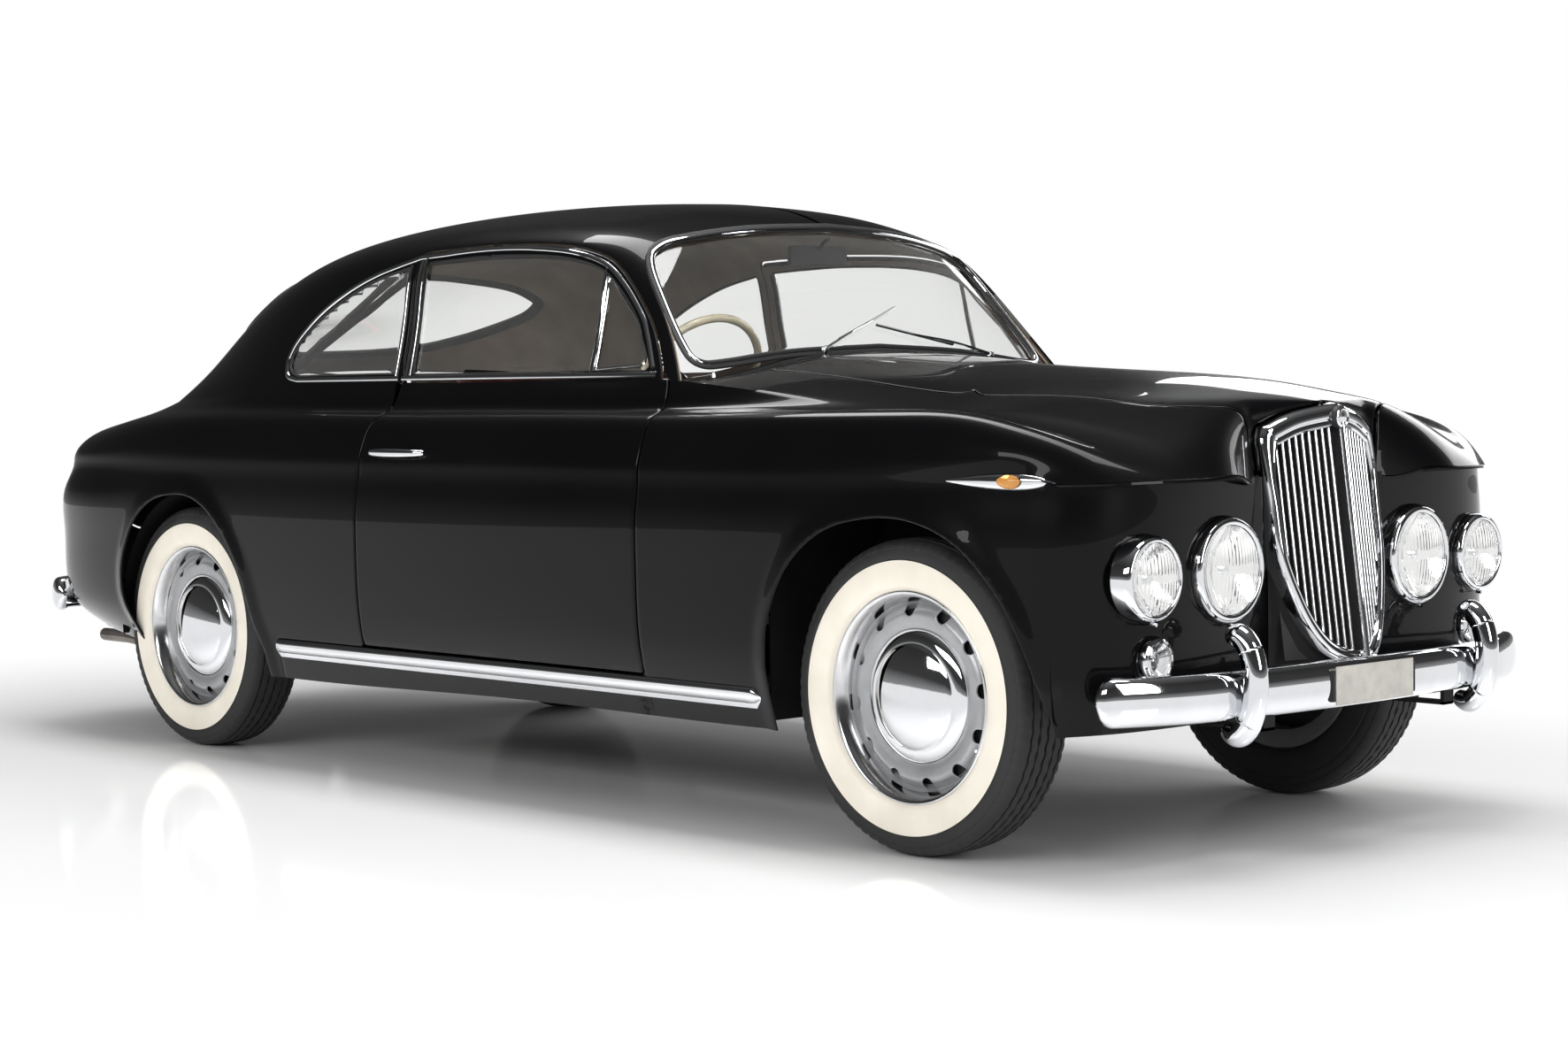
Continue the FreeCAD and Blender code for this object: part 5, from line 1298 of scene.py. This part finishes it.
def bumper_bar(plan, low, high, sign):
    half = curve_through([(x, y) for y, x in plan], 9)
    path = [(x, -y) for x, y in half[:0:-1]] + [(x, y) for x, y in half]
    n, m = len(path), len(BAR_PROFILE)
    length = chord_lengths([tuple(p) for p in path])
    points = []
    for i, (x, y) in enumerate(path):
        a, b = path[max(0, i - 1)], path[min(n - 1, i + 1)]
        tx, ty = b[0] - a[0], b[1] - a[1]
        size = math.hypot(tx, ty)
        nx, ny = (ty/size, -tx/size) if sign > 0 else (-ty/size, tx/size)
        if nx*sign < 0:
            nx, ny = -nx, -ny
        pinch = rounded_end(min(length[i], length[-1] - length[i]), 34)*0.92 + 0.08
        for out, up in BAR_PROFILE:
            z = (low + high)/2 + (up - BAR_HALF)*(high - low)/(2*BAR_HALF)*pinch
            o = -BAR_DEPTH + (out + BAR_DEPTH)*(0.35 + 0.65*pinch)
            points.append((x + nx*o, y + ny*o, z))
    return points, grid_faces(n, m, False, True) + grid_ends(n, m)


GUARD_LINE = [(2072, 478), (2085, 494), (2103, 488), (2121, 462), (2131, 424), (2132, 385), (2126, 345),
              (2110, 308), (2086, 290), (2052, 300)]
GUARD_R = 26.0


def guard(sign, front=True):
    line = GUARD_LINE if front else [(-(x + 300), z + 27) for x, z in GUARD_LINE]
    return bar([(x, sign*420.0, z) for x, z in curve_through(line)], GUARD_R, 20,
               taper=lambda t: 0.42 + 0.58*rounded_end(min(t, 1 - t)*2, 0.34))


def plain_box(x0, x1, y0, y1, z0, z1, edge=1.5):
    """Box with chamfered edges as (points, faces)."""
    bm = bmesh.new()
    bmesh.ops.create_cube(bm, size=1)
    for v in bm.verts:
        v.co = [(a + b)/2 + c*(b - a) for a, b, c in zip((x0, y0, z0), (x1, y1, z1), v.co)]
    bmesh.ops.bevel(bm, geom=bm.edges[:], offset=edge, segments=2, affect="EDGES")
    bm.verts.index_update()
    points = [tuple(v.co) for v in bm.verts]
    faces = [[v.index for v in f.verts] for f in bm.faces]
    bm.free()
    return points, faces


def blocks(x, y, half_y, z):
    """A box on each side, half_y each way from Y."""
    return [plain_box(*x, s*y - half_y, s*y + half_y, *z) for s in (1, -1)]


merged("front_bumper_bar", [bumper_bar(FRONT_BUMPER, 322, 424, 1)], CHROME, "body", ["front_bumper"], 40)
merged("front_overriders", [guard(1), guard(-1)], CHROME, angle=40)
merged("front_bumper_brackets", blocks((1880, 2095), 326, 20, (291.7, 299.7))
       + blocks((2085, 2095), 326, 20, (291.7, 350)), UNDERCOAT)
merged("rear_bumper_bar", [bumper_bar(REAR_BUMPER, 350, 450, -1)], CHROME, "body", ["rear_bumper"], 40)
merged("rear_overriders", [guard(1, False), guard(-1, False)], CHROME, angle=40)
merged("rear_bumper_brackets", blocks((-2400, -2322), 320, 20, (396, 412)), UNDERCOAT)

PLATE_X, PLATE_W, PLATE_LOW, PLATE_HIGH = 2129, 140.0, 330.0, 412.0
DOT_R, DOT_OUT, DOT_PITCH, DOT_ROW = 2.0, 0.9, 6.2, 6.0


def dotted_plate():
    """Plate with rows of small raised dots."""
    parts = [plain_box(PLATE_X - 3, PLATE_X, -PLATE_W, PLATE_W, PLATE_LOW, PLATE_HIGH, 0.8)]
    for row in range(13):
        for col in range(44):
            y = -PLATE_W + 6 + col*DOT_PITCH + (DOT_PITCH/2 if row % 2 else 0)
            z = PLATE_LOW + 5 + row*DOT_ROW
            if y > PLATE_W - 5 or z > PLATE_HIGH - 4:
                continue
            ring = [(PLATE_X, y + DOT_R*math.cos(k*math.pi/3), z + DOT_R*math.sin(k*math.pi/3))
                    for k in range(6)]
            parts.append((ring + [(PLATE_X + DOT_OUT, y, z)], [[k, (k + 1) % 6, 6] for k in range(6)]))
    return parts


merged("front_plate", dotted_plate(), PLATE, angle=30)
merged("front_plate_brackets", blocks((2112, 2127), PLATE_W + 4, 7, (338, 404)), SEAL)

# ---- Lamps ----

def lamp_parts(lamp):
    """Sections of a headlamp's bezel and bowl, and the bezel's width."""
    r, depth = lamp[1], 46.0
    wide = r*0.16
    inner = r - wide - 0.5
    bezel = [(-depth, r - 2), (-depth + 2, r), (-14, r), (-6, r - 0.6), (0, r - 2.6), (3.2, r - 6),
             (4.4, r - wide*0.6), (4.0, r - wide*0.8), (2.2, r - wide*0.95), (-3, r - wide), (-8, r - wide)]
    bowl = [(-3, inner)] + [(-3 - (depth - 8)*(1 - (t/12)**2), inner*t/12) for t in range(11, -1, -1)]
    return bezel, bowl, wide


def lens_part(centre, r, bulge, flutes=True, rings=26, count=96):
    """Domed lens whose inner face has upright flutes, as (points, faces)."""
    front, back = [], []
    x, y, z = centre
    for i in range(rings + 1):
        q = i/rings
        for k in range(count):
            w = 2*math.pi*k/count
            dy, dz = q*r*math.cos(w), q*r*math.sin(w)
            dome = bulge*(1 - q*q)
            fluted = flutes and q < 0.93 and abs(dz) > r*0.12
            ripple = 0.9*math.sin(2*math.pi*dy/11.0) if fluted else 0.0
            front.append((x + dome + 1.0, y + dy, z + dz))
            back.append((x + dome - 2.2 + ripple, y + dy, z + dz))
    faces = grid_faces(rings + 1, count, False, True, True)
    rim = [[f[3], f[2], f[2] + len(front), f[3] + len(front)][::-1] for f in faces[-count:]]
    return front + back, faces + second_layer(faces, len(front)) + rim


bezels, bowls, lenses, bulbs, screws = [], [], [], [], []
BULB = [(-30, 0), (-30, 9), (-16, 10), (-13, 7), (-12, 0)]
for lamp in (MAIN_LAMP, DIP_LAMP):
    bezel, bowl, wide = lamp_parts(lamp)
    centre, r = lamp
    x, y, z = centre
    bezels += both(spun_x(bezel, centre, 96))
    bowls += both(spun_x(bowl, centre, 72))
    lenses += both(lens_part((x - 1.5, y, z), r - wide + 0.2, r*0.13))
    bulbs += both(spun_x(BULB, centre, 24))
    screws += both(bar([(x - 12, y, z - r - 3), (x + 2, y, z - r - 3.5)], 4.0, 10))
merged("lamp_bezels", bezels, CHROME, "body", ["headlamps"])
merged("lamp_reflectors", bowls, REFLECTOR)
merged("lamp_lenses", lenses, LENS, weld=0.01)
merged("lamp_bulbs", bulbs + screws, CHROME)

centre, pr = PARKING_LAMP
px, py, pz = centre
rim = [(-30, pr - 6), (-10, pr - 1), (-4, pr - 2), (-1, pr - 7), (-4, pr - 10), (-26, pr - 10)]
bowl = [(-26, 0), (-24, pr*0.5), (-6, pr - 10)]
merged("parking_lamp_rims", both(spun_x(rim, centre, 48)) + both(spun_x(bowl, centre, 32)), CHROME, "body",
       ["marker_lamps"])
merged("parking_lamp_lenses", both(lens_part((px - 3, py, pz), pr - 9.5, 13, False)), LENS, weld=0.01)
centre, tr = TAIL_LAMP
tail_rim = [(-58, tr - 3), (4, tr), (10, tr - 1), (12, tr - 5), (9, tr - 7), (-30, tr - 8)]
tail_dome = [(8, tr - 7), (13, tr - 10), (18, tr*0.55), (22, tr*0.25), (23.5, 0), (19, 0), (14, tr*0.5),
             (4, tr - 10)]
merged("tail_lamp_rims", both(spun_x(tail_rim, centre, 48, -1)), CHROME)
merged("tail_lamp_lenses", both(spun_x(tail_dome, centre, 48, -1)), RED)

# Side lamps: a chrome drop along the wing, with an amber lens set in it
POD_Z, POD_NOSE, POD_TAIL, LENS_X = 815.0, 1862.0, 1594.0, 1778.0


def drop(t):
    """Blunt at its front, pointed at its tail."""
    return 2.7*t**0.5*(1 - t)**1.1


def bead(t):
    return math.sin(math.pi*t)**0.6 if 0 < t < 1 else 0.0


def pod_part(x0, x1, half_high, out, sign, shape, base=0.0):
    """Raised form laid on the side between two X values, shape giving its swell along them."""
    n, m = 30, 14
    points = []
    for i in range(n + 1):
        swell = shape(i/n)
        for k in range(m + 1):
            w = math.pi*k/m
            spot, normal = on_side(x0 + (x1 - x0)*i/n, POD_Z + half_high*swell*math.cos(w), sign)
            points.append(tuple(spot + normal*(base + out*swell*math.sin(w) - 1.5)))
    return points, handed(grid_faces(n + 1, m + 1), sign)


merged("side_lamp_drops", [pod_part(POD_NOSE, POD_TAIL, 18, 13, s, drop) for s in (1, -1)], CHROME, angle=50,
       weld=0.02)
merged("side_lamp_lenses", [pod_part(LENS_X + 40, LENS_X - 40, 15, 12, s, bead, 6) for s in (1, -1)], AMBER,
       angle=50, weld=0.02)

# ---- Trim ----

# Brightwork round the side windows: the drip rail over the glass, the belt strip and the posts
RAIL = [(-1002, 1080), (-1004, 1112), (-972, 1160), (-884, 1224), (-760, 1281), (-622, 1325), (-440, 1362),
        (-122, 1372), (142, 1358), (304, 1326), (392, 1276), (480, 1190), (516, 1140), (566, 1062)]
QUARTER_RAIL = smooth([(-930, 1046), (-984, 1056)] + [p for p in RAIL if p[0] < -430], 8)
DOOR_RAIL = smooth([p for p in RAIL if p[0] > -441], 8)
VENT = rounded_outline([(535, 1072), (352, 1062), (344, 1300), (388, 1248), (466, 1174), (500, 1128)], 14)
BELT_STRIP_Z = 1046


def post(x, z, dx, dz):
    """Straight line up the side from X, Z."""
    return [(x + dx*t, z + dz*t) for t in evenly(0, 1, 12)]


# Name, whether it rides on the door, line, width, height, how far out
STRIPS = [("quarter_rail_", False, QUARTER_RAIL, 13, 7, 1.0),
          ("door_rail_", True, DOOR_RAIL, 12, 7, 1.0),
          ("quarter_belt_", False, [(x, BELT_STRIP_Z) for x in evenly(-932, -448, 16)], 14, 8, 1.5),
          ("door_belt_", True, [(x, BELT_STRIP_Z) for x in evenly(-432, 586, 30)], 14, 8, 1.5),
          ("lock_post_", True, post(-404, 1050, -6, 306), 11, 7, 0.5),
          ("lock_post_seal_", True, post(-421, 1050, -6, 314), 12, 6, -1),
          ("quarter_post_", False, post(-466, 1052, -3, 292), 10, 7, 0.5),
          ("vent_post_", True, post(345, 1050, -11, 278), 13, 9, -4),
          ("door_pane_seal_", True, pane_points, 9, 9, -8),
          ("quarter_pane_seal_", False, quarter_points, 9, 9, -4),
          ("vent_frame_", True, VENT, 7, 6, -9)]
for side, sign in SIDES:
    for name, on_door, line, width, height, out in STRIPS:
        ringed = line in (pane_points, quarter_points, VENT)
        strip_on_side(name + side, line, width, height, sign, out, 8 if ringed else 10, ringed,
                      SEAL if "seal" in name else CHROME, "door_" + side if on_door else "body")

STRIP_X, STRIP_Z = (-923.0, 1026.0), (292.0, 342.0)


def sill_strip(sign, n=90):
    """Bright strip along the sill, half round in section with a flat flange below, pointed at its ends."""
    section = [(-1, 0), (0.5, 1.5), (2.0, 9), (2.6, 13), (5.0, 15), (8.4, 20), (10.4, 27), (10.8, 33),
               (9.6, 40), (6.4, 46), (2.0, 49.5), (-1, 50)]
    points = []
    for x in evenly(*STRIP_X, n):
        pinch = rounded_end(min(x - STRIP_X[0], STRIP_X[1] - x), 26)
        for out, up in section:
            spot, normal = on_side(x, STRIP_Z[0] + 25 + (up - 25)*max(pinch, 0.05), sign)
            points.append(tuple(spot + normal*(1 + out*pinch)))
    return points, handed(grid_faces(n + 1, len(section), False, True), sign)


merged("sill_brightwork", [sill_strip(1), sill_strip(-1)], CHROME, "body", ["sill_strips"], 30)

HANDLE_X, HANDLE_Z, HANDLE_STEPS = (-442.0, -212.0), 855.0, 24
for side, sign in SIDES:
    path = []
    for i, x in enumerate(evenly(*HANDLE_X, HANDLE_STEPS)):
        lift = 3 + 26*math.sin(math.pi*i/HANDLE_STEPS)**0.45
        path.append(on_side(x, HANDLE_Z, sign)[0] + np.array([0, sign*lift, 0]))
    tube("door_pull_" + side, path, 10.5, CHROME, "door_" + side, ["door_handle_" + side], sides=14,
         squash=0.62, taper=lambda t: 0.55 + 0.45*math.sin(math.pi*t)**0.5, normal=(0, sign, 0))
    seats = []
    for x in (HANDLE_X[0] + 18, HANDLE_X[1] - 18):
        spot, normal = on_side(x, HANDLE_Z, sign)
        seats.append(bar([spot - normal*4, spot + normal*3, spot + normal*9], 13, 20, squash=0.8,
                         taper=lambda t: 1 - 0.45*t, normal=(0, 0, 1)))
    merged("door_pull_seats_" + side, seats, CHROME, "door_" + side)

# ---- Wipers, mirror and scuttle fittings ----

def wiper(foot, tip, blade_half):
    a, b = np.array(screen_point(*foot, 12)), np.array(screen_point(*tip, 4))
    side = (b - a)/np.linalg.norm(b - a)
    ends = [b - side*blade_half, b + side*blade_half*0.75]
    rows = []
    for t in evenly(0, 1, 12):
        p = ends[0]*(1 - t) + ends[1]*t
        rows.append(screen_at(p[1], p[2], 2.5))
    arm = curve_through([a, (a + b)/2 + np.array([6, 0, 5]), b])
    return [bar(arm, 3.6, 10, taper=lambda t: 1 - 0.45*t),
            bar(rows, 2.6, 8, squash=2.0, normal=SCREEN_OUT),
            bar([a + np.array(shift) for shift in ((-12, 0, -16), (0, 0, -2), (3, 0, 4))], 9, 14,
                taper=lambda t: 1 - 0.4*t)]


merged("wiper_arms", wiper((-0.32, -0.03), (0.02, 0.20), 150) + wiper((0.66, -0.02), (0.22, 0.10), 150),
       CHROME, "body", ["wipers"])
stalk = bar(curve_through([(426, 0, 1362), (440, 0, 1376), (462, 0, 1388)], 6), 5)
merged("inside_mirror", [plain_box(416, 428, -104, 104, 1319, 1371, 5), stalk], SEAL, "body", ["mirror"])
merged("inside_mirror_glass", [plain_box(413.4, 416.4, -99, 99, 1324, 1366, 1)], CHROME, "body")

washers = []
for sign in (1, -1):
    hit, *_ = SKIN_TREE.ray_cast(Vector((690, sign*600, 1500)), Vector((0, 0, -1)))
    spot = np.array(hit)
    washers.append(bar([spot - (0, 0, 3), spot + (0, 0, 6), spot + (-2, 0, 13)], 5,
                       taper=lambda t: 1 - 0.45*t))
merged("washer_nozzles", washers, CHROME)

# ---- Cabin ----

SEAT_Y, SEAT_HALF, BENCH_HALF = 340.0, 225.0, 520.0
CROWN, FILL, PLEAT_DEPTH, PLEATED = 26.0, 0.7, 5.5, 0.86


def tilted(centre, tilt):
    """Puts a pad's own point in its place in the car."""
    turn = Matrix.Rotation(math.radians(tilt), 3, "Y")
    return lambda p: tuple(a + b for a, b in zip(centre, turn @ Vector(p)))


def cushion(name, centre, size, tilt, pleats, nodes=(), n=34):
    """Crowned pad with sewn pleats: size is its depth, width and thickness, tilt turns it about Y."""
    depth, width, thick = size
    place = tilted(centre, tilt)

    def put(u, v, side):
        edge = (1 - abs(u)**3.5)*(1 - abs(v)**3.5)
        full = max(0.0, edge)**0.42
        x = u*depth/2*(1 - 0.035*(1 - abs(v))*abs(u)**4)
        y = v*width/2*(1 - 0.03*(1 - abs(u))*abs(v)**4)
        groove = 0.0
        if side > 0 and abs(v) < PLEATED and abs(u) < 0.9:
            phase = (v + PLEATED)/(2*PLEATED)*pleats
            groove = PLEAT_DEPTH*(1 - abs(math.sin(math.pi*phase)))**3*min(1, (0.9 - abs(u))*6)
        z = side*thick/2*full + (CROWN*edge**0.5*0.5 - groove if side > 0 else 0)
        return place((x, y, z))

    points = [put(math.sin((-1 + 2*i/n)*math.pi/2), math.sin((-1 + k/n)*math.pi/2), side)
              for side in (1, -1) for i in range(n + 1) for k in range(2*n + 1)]
    top = grid_faces(n + 1, 2*n + 1)
    faces = [f for a, b in zip(top, second_layer(top, len(points)//2)) for f in (a, b)]
    obj = merged(name, [(points, faces)], LEATHER, "body", nodes, 60, 0.4)


def piping(name, centre, size, tilt):
    """Sewn cord round a pad's edge."""
    depth, width, _ = size
    place = tilted(centre, tilt)
    loop = rounded([(-0.5, -0.5), (0.5, -0.5), (0.5, 0.5), (-0.5, 0.5)], 0.09, 8)
    tube(name, [place((u*depth*0.985, v*width*0.985, 0)) for u, v in loop], 4.5, PIPING, sides=8, closed=True)


for side, sign in SIDES:
    y = sign*SEAT_Y
    seat_size, back_size = (500, 2*SEAT_HALF, 130), (570, 2*SEAT_HALF - 10, 110)
    cushion("seat_cushion_" + side, (-95, y, 432), seat_size, -5, 7, ["front_seats"] if sign > 0 else [])
    piping("seat_cushion_piping_" + side, (-95, y, 438), seat_size, -5)
    cushion("seat_back_" + side, (-316, y, 776), back_size, -102, 7)
    piping("seat_back_piping_" + side, (-316, y, 776), back_size, -102)
    merged("seat_frame_" + side, [plain_box(-320, 140, y - 190, y + 190, 336, 372, 8),
                                  plain_box(-300, 120, y - 195, y - 165, 269, 340, 3),
                                  plain_box(-300, 120, y + 165, y + 195, 269, 340, 3)], UNDERCOAT)
cushion("rear_cushion", (-700, 0, 470), (380, 2*BENCH_HALF, 130), -8, 12, ["rear_bench"])
cushion("rear_backrest", (-925, 0, 700), (450, 2*BENCH_HALF, 110), -100, 12)
merged("rear_plinth", [plain_box(-880, -545, -BENCH_HALF, -120, 270, 415, 6),
                       plain_box(-880, -545, 120, BENCH_HALF, 270, 415, 6)], CARPET)
merged("parcel_shelf", [plain_box(-1640, -1010, -500, 500, 938, 950, 4)], LINING)
merged("floor_carpet", [plain_box(-890, 690, s*400 - 284, s*400 + 284, 268.4, 276, 2) for s in (1, -1)]
       + [plain_box(-890, 990, -112, 112, 400.4, 406, 2)], CARPET)


def extruded_y(section, y0, y1, steps):
    points = [(x, y, z) for y in evenly(y0, y1, steps) for x, z in section]
    n = len(section)
    return points, grid_faces(steps + 1, n, False, True, True) + grid_ends(steps + 1, n)


dash_section = rounded([(524, 884), (532, 985), (562, 1012), (640, 1018), (696, 990), (696, 908), (600, 898),
                        (562, 866)], 14, 5)
merged("dash_panel", [extruded_y([tuple(p) for p in dash_section], -588, 588, 12)], DASH, "body",
       ["dashboard"])
dials = []
for y, r in ((-350, 52), (-240, 36), (-455, 36), (0, 30)):
    face = [(0, 0), (0, r - 5), (-3, r - 4), (-5, r - 1), (-4, r), (2, r)]
    dials.append(spun_x(face, (527, y, 945), 40))
merged("dash_dials", dials, CHROME)

COLUMN_TILT = math.radians(30)
STEERING_CENTRE, STEERING_R = (338.0, -350.0, 1012.0), 198.0


def steering_place(p):
    x, y, z = p
    c, s = math.cos(COLUMN_TILT), math.sin(COLUMN_TILT)
    return (STEERING_CENTRE[0] + x*c + z*s, STEERING_CENTRE[1] + y, STEERING_CENTRE[2] - x*s + z*c)


rim_path = [steering_place((0, STEERING_R*math.cos(t), STEERING_R*math.sin(t)))
            for t in [2*math.pi*k/72 for k in range(72)]]
tube("steering_rim", rim_path, 10.5, CREAM, "body", ["steering_wheel"], sides=14, closed=True)
spokes = []
for angle in (-90, 30, 150):
    t = math.radians(angle)
    for shift in (-7, 0, 7):
        ends = [(d, r*math.cos(t) + shift*math.sin(t), r*math.sin(t) - shift*math.cos(t))
                for d, r in ((14, 30), (2, STEERING_R - 4))]
        spokes.append(bar([steering_place(p) for p in ends], 2.4, 8))
merged("steering_spokes", spokes, CHROME)
HUB_SIZES = (0.5, 0.85, 1.0, 1.0, 0.75)
tube("steering_hub", [steering_place((d, 0, 0)) for d in (-12, -8, 0, 20, 60)], 34, CREAM, sides=32,
     taper=lambda t: HUB_SIZES[int(round(t*4))])
tube("steering_column", [steering_place((d, 0, 0)) for d in (55, 120, 190)], 20, DASH, sides=20)

# Headlining hangs inside the roof, and trim covers the doors below the glass
lining = moved_in(trim(copy_of(roof_skin), drop=[(door_frame, 20), (screen_edge, 24)]), 14)
panel("headlining_front", pair(lining), 2.5, "body", [], [LINING])
for side, sign in SIDES:
    door = "door_" + side
    card = plain_box(-410, 560, sign*724 - 4, sign*724 + 4, 372, 880, 6)
    merged("door_card_" + side, [card], LEATHER, door)
    pocket = plain_box(-330, 250, sign*714 - 6, sign*714 + 6, 420, 610, 5)
    merged("door_pocket_" + side, [pocket], LEATHER, door)
    winder = [bar([(60, sign*724, 800), (60, sign*702, 800)], 8),
              bar([(60, sign*704, 800), (60, sign*700, 730)], 5, 10)]
    merged("window_winder_" + side, winder, CHROME, door)

# ---- Camera, light and floor ----

IMAGE_W, FOCAL_PX, SENSOR = 1772.0, 3218.5, 36.0
CAMERA_AT = (5685.4, -5070.9, 1013.75)
YAW, PITCH, TURN = math.radians(136.79), math.radians(-2.73), math.radians(-0.62)


def set_camera():
    forward = Vector((math.cos(PITCH)*math.cos(YAW), math.cos(PITCH)*math.sin(YAW), math.sin(PITCH)))
    right = forward.cross(Vector((0, 0, 1))).normalized()
    up = right.cross(forward)
    right2 = right*math.cos(TURN) + up*math.sin(TURN)
    up2 = up*math.cos(TURN) - right*math.sin(TURN)
    data = bpy.data.cameras.new("photo_camera")
    data.sensor_fit = "HORIZONTAL"
    data.sensor_width = SENSOR
    data.lens = FOCAL_PX*SENSOR/IMAGE_W
    data.clip_end = 200
    camera = bpy.data.objects.new("photo_camera", data)
    bpy.context.scene.collection.objects.link(camera)
    turn = Matrix((right2, up2, -forward)).transposed().to_4x4()
    camera.matrix_world = Matrix.Translation(Vector(M(CAMERA_AT))) @ turn
    bpy.context.scene.camera = camera


def area_light(name, at, look, size, power):
    data = bpy.data.lights.new(name, "AREA")
    data.shape = "RECTANGLE"
    data.size, data.size_y = size
    data.energy = power
    obj = bpy.data.objects.new(name, data)
    bpy.context.scene.collection.objects.link(obj)
    obj.location = at
    obj.rotation_euler = (Vector(look) - Vector(at)).to_track_quat("-Z", "Y").to_euler()


# What polished surfaces mirror, from straight below to straight above
SKY = [(0.0, 0.85), (0.46, 0.80), (0.50, 0.30), (0.56, 0.05), (0.74, 0.03), (0.90, 0.10), (1.0, 0.2)]


def set_world():
    """White to the camera and through glass, a graded sky to polished surfaces, soft light otherwise."""
    world = bpy.data.worlds.new("studio")
    bpy.context.scene.world = world
    world.use_nodes = True
    graph = Graph(world.node_tree)
    graph.nodes.clear()
    ambient = graph.add("Background", {"Color": (1, 1, 1, 1), "Strength": 0.7})
    shown = graph.add("Background", {"Color": (1, 1, 1, 1), "Strength": 1.0})
    coords = graph.add("TexCoord")
    split = graph.add("SeparateXYZ", {"Vector": coords.outputs["Generated"]})
    span = graph.add("MapRange", {"From Min": -1, "From Max": 1, "Value": split.outputs["Z"]})
    ramp = graph.add("ValToRGB", {"Fac": span.outputs["Result"]})
    elements = ramp.color_ramp.elements
    while len(elements) < len(SKY):
        elements.new(0.5)
    for e, (at, level) in zip(elements, SKY):
        e.position = at
        e.color = (level, level, level, 1)
    mirrored = graph.add("Background", {"Color": ramp.outputs["Color"], "Strength": 1.0})
    path = graph.add("LightPath").outputs
    glossy = graph.add("MixShader", {"Fac": path["Is Glossy Ray"], 1: ambient.outputs[0],
                                     2: mirrored.outputs[0]})
    seen = graph.either(path["Is Camera Ray"], path["Is Transmission Ray"])
    through = graph.add("MixShader", {"Fac": seen, 1: glossy.outputs[0], 2: shown.outputs[0]})
    graph.add("OutputWorld", {"Surface": through.outputs[0]})


FLOOR_HALF = 40.0
FADE_START, FADE_END, FADE_SQUASH = 1.2, 2.7, (0.62, 1.0, 0.0)


def set_floor():
    """Pale polished floor that keeps the car's shadow and fades to plain white away from it."""
    mesh = bpy.data.meshes.new("floor")
    corners = [(x*FLOOR_HALF, y*FLOOR_HALF, 0) for x, y in ((-1, -1), (1, -1), (1, 1), (-1, 1))]
    mesh.from_pydata(corners, [], [(0, 1, 2, 3)])
    obj = bpy.data.objects.new("floor", mesh)
    bpy.context.scene.collection.objects.link(obj)
    m, graph, shader = material("studio_floor")
    coords, _ = clouds(graph, shader, 0.7, (0.86, 0.86, 0.865), (0.90, 0.90, 0.90))
    graph.feed(shader, {"Roughness": 0.09, "Specular IOR Level": 0.6})
    squash = graph.add("VectorMath", {0: coords, 1: FADE_SQUASH}, operation="MULTIPLY")
    length = graph.add("VectorMath", {0: squash.outputs["Vector"]}, operation="LENGTH")
    fade = graph.add("MapRange", {"From Min": FADE_START, "From Max": FADE_END,
                                  "Value": length.outputs["Value"]}, interpolation_type="SMOOTHSTEP")
    path = graph.add("LightPath").outputs
    seen = graph.either(path["Is Camera Ray"], path["Is Transmission Ray"])
    also = graph.either(seen, path["Is Glossy Ray"])
    share = graph.add("Math", {0: also, 1: fade.outputs["Result"]}, operation="MULTIPLY")
    glow = graph.add("Emission")
    mix = graph.add("MixShader", {"Fac": share.outputs[0], 1: shader.outputs[0], 2: glow.outputs[0]})
    out = next(n for n in graph.nodes if n.type == "OUTPUT_MATERIAL")
    graph.feed(out, {"Surface": mix.outputs[0]})
    mesh.materials.append(m)


set_camera()
set_world()
set_floor()
area_light("overhead", (0.2, 0.0, 5.2), (0.2, 0, 0.6), (7.5, 1.7), 360)
area_light("side_bank", (1.5, -7.5, 3.4), (0.2, 0, 0.7), (7.0, 1.6), 260)
area_light("front_bank", (7.5, -0.5, 3.2), (1.5, 0, 0.6), (1.6, 4.0), 170)
area_light("left_bank", (0.0, 6.5, 3.2), (0, 0, 0.8), (7.0, 2.0), 160)

bpy.context.scene.view_settings.view_transform = "Standard"

# ---- Finishes of the parts that stay as they are ----

STAYING = dict.fromkeys(("floor_pan", "front_suspension", "rear_axle", "rear_springs", "knuckle_left",
                         "knuckle_right", "radiator"), UNDERCOAT)
STAYING.update(exhaust=PIPE, engine=IRON)
for node, finish in STAYING.items():
    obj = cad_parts[node]
    if not obj.data.materials:
        obj.data.materials.append(finish)
    for slot in obj.material_slots:
        slot.material = finish
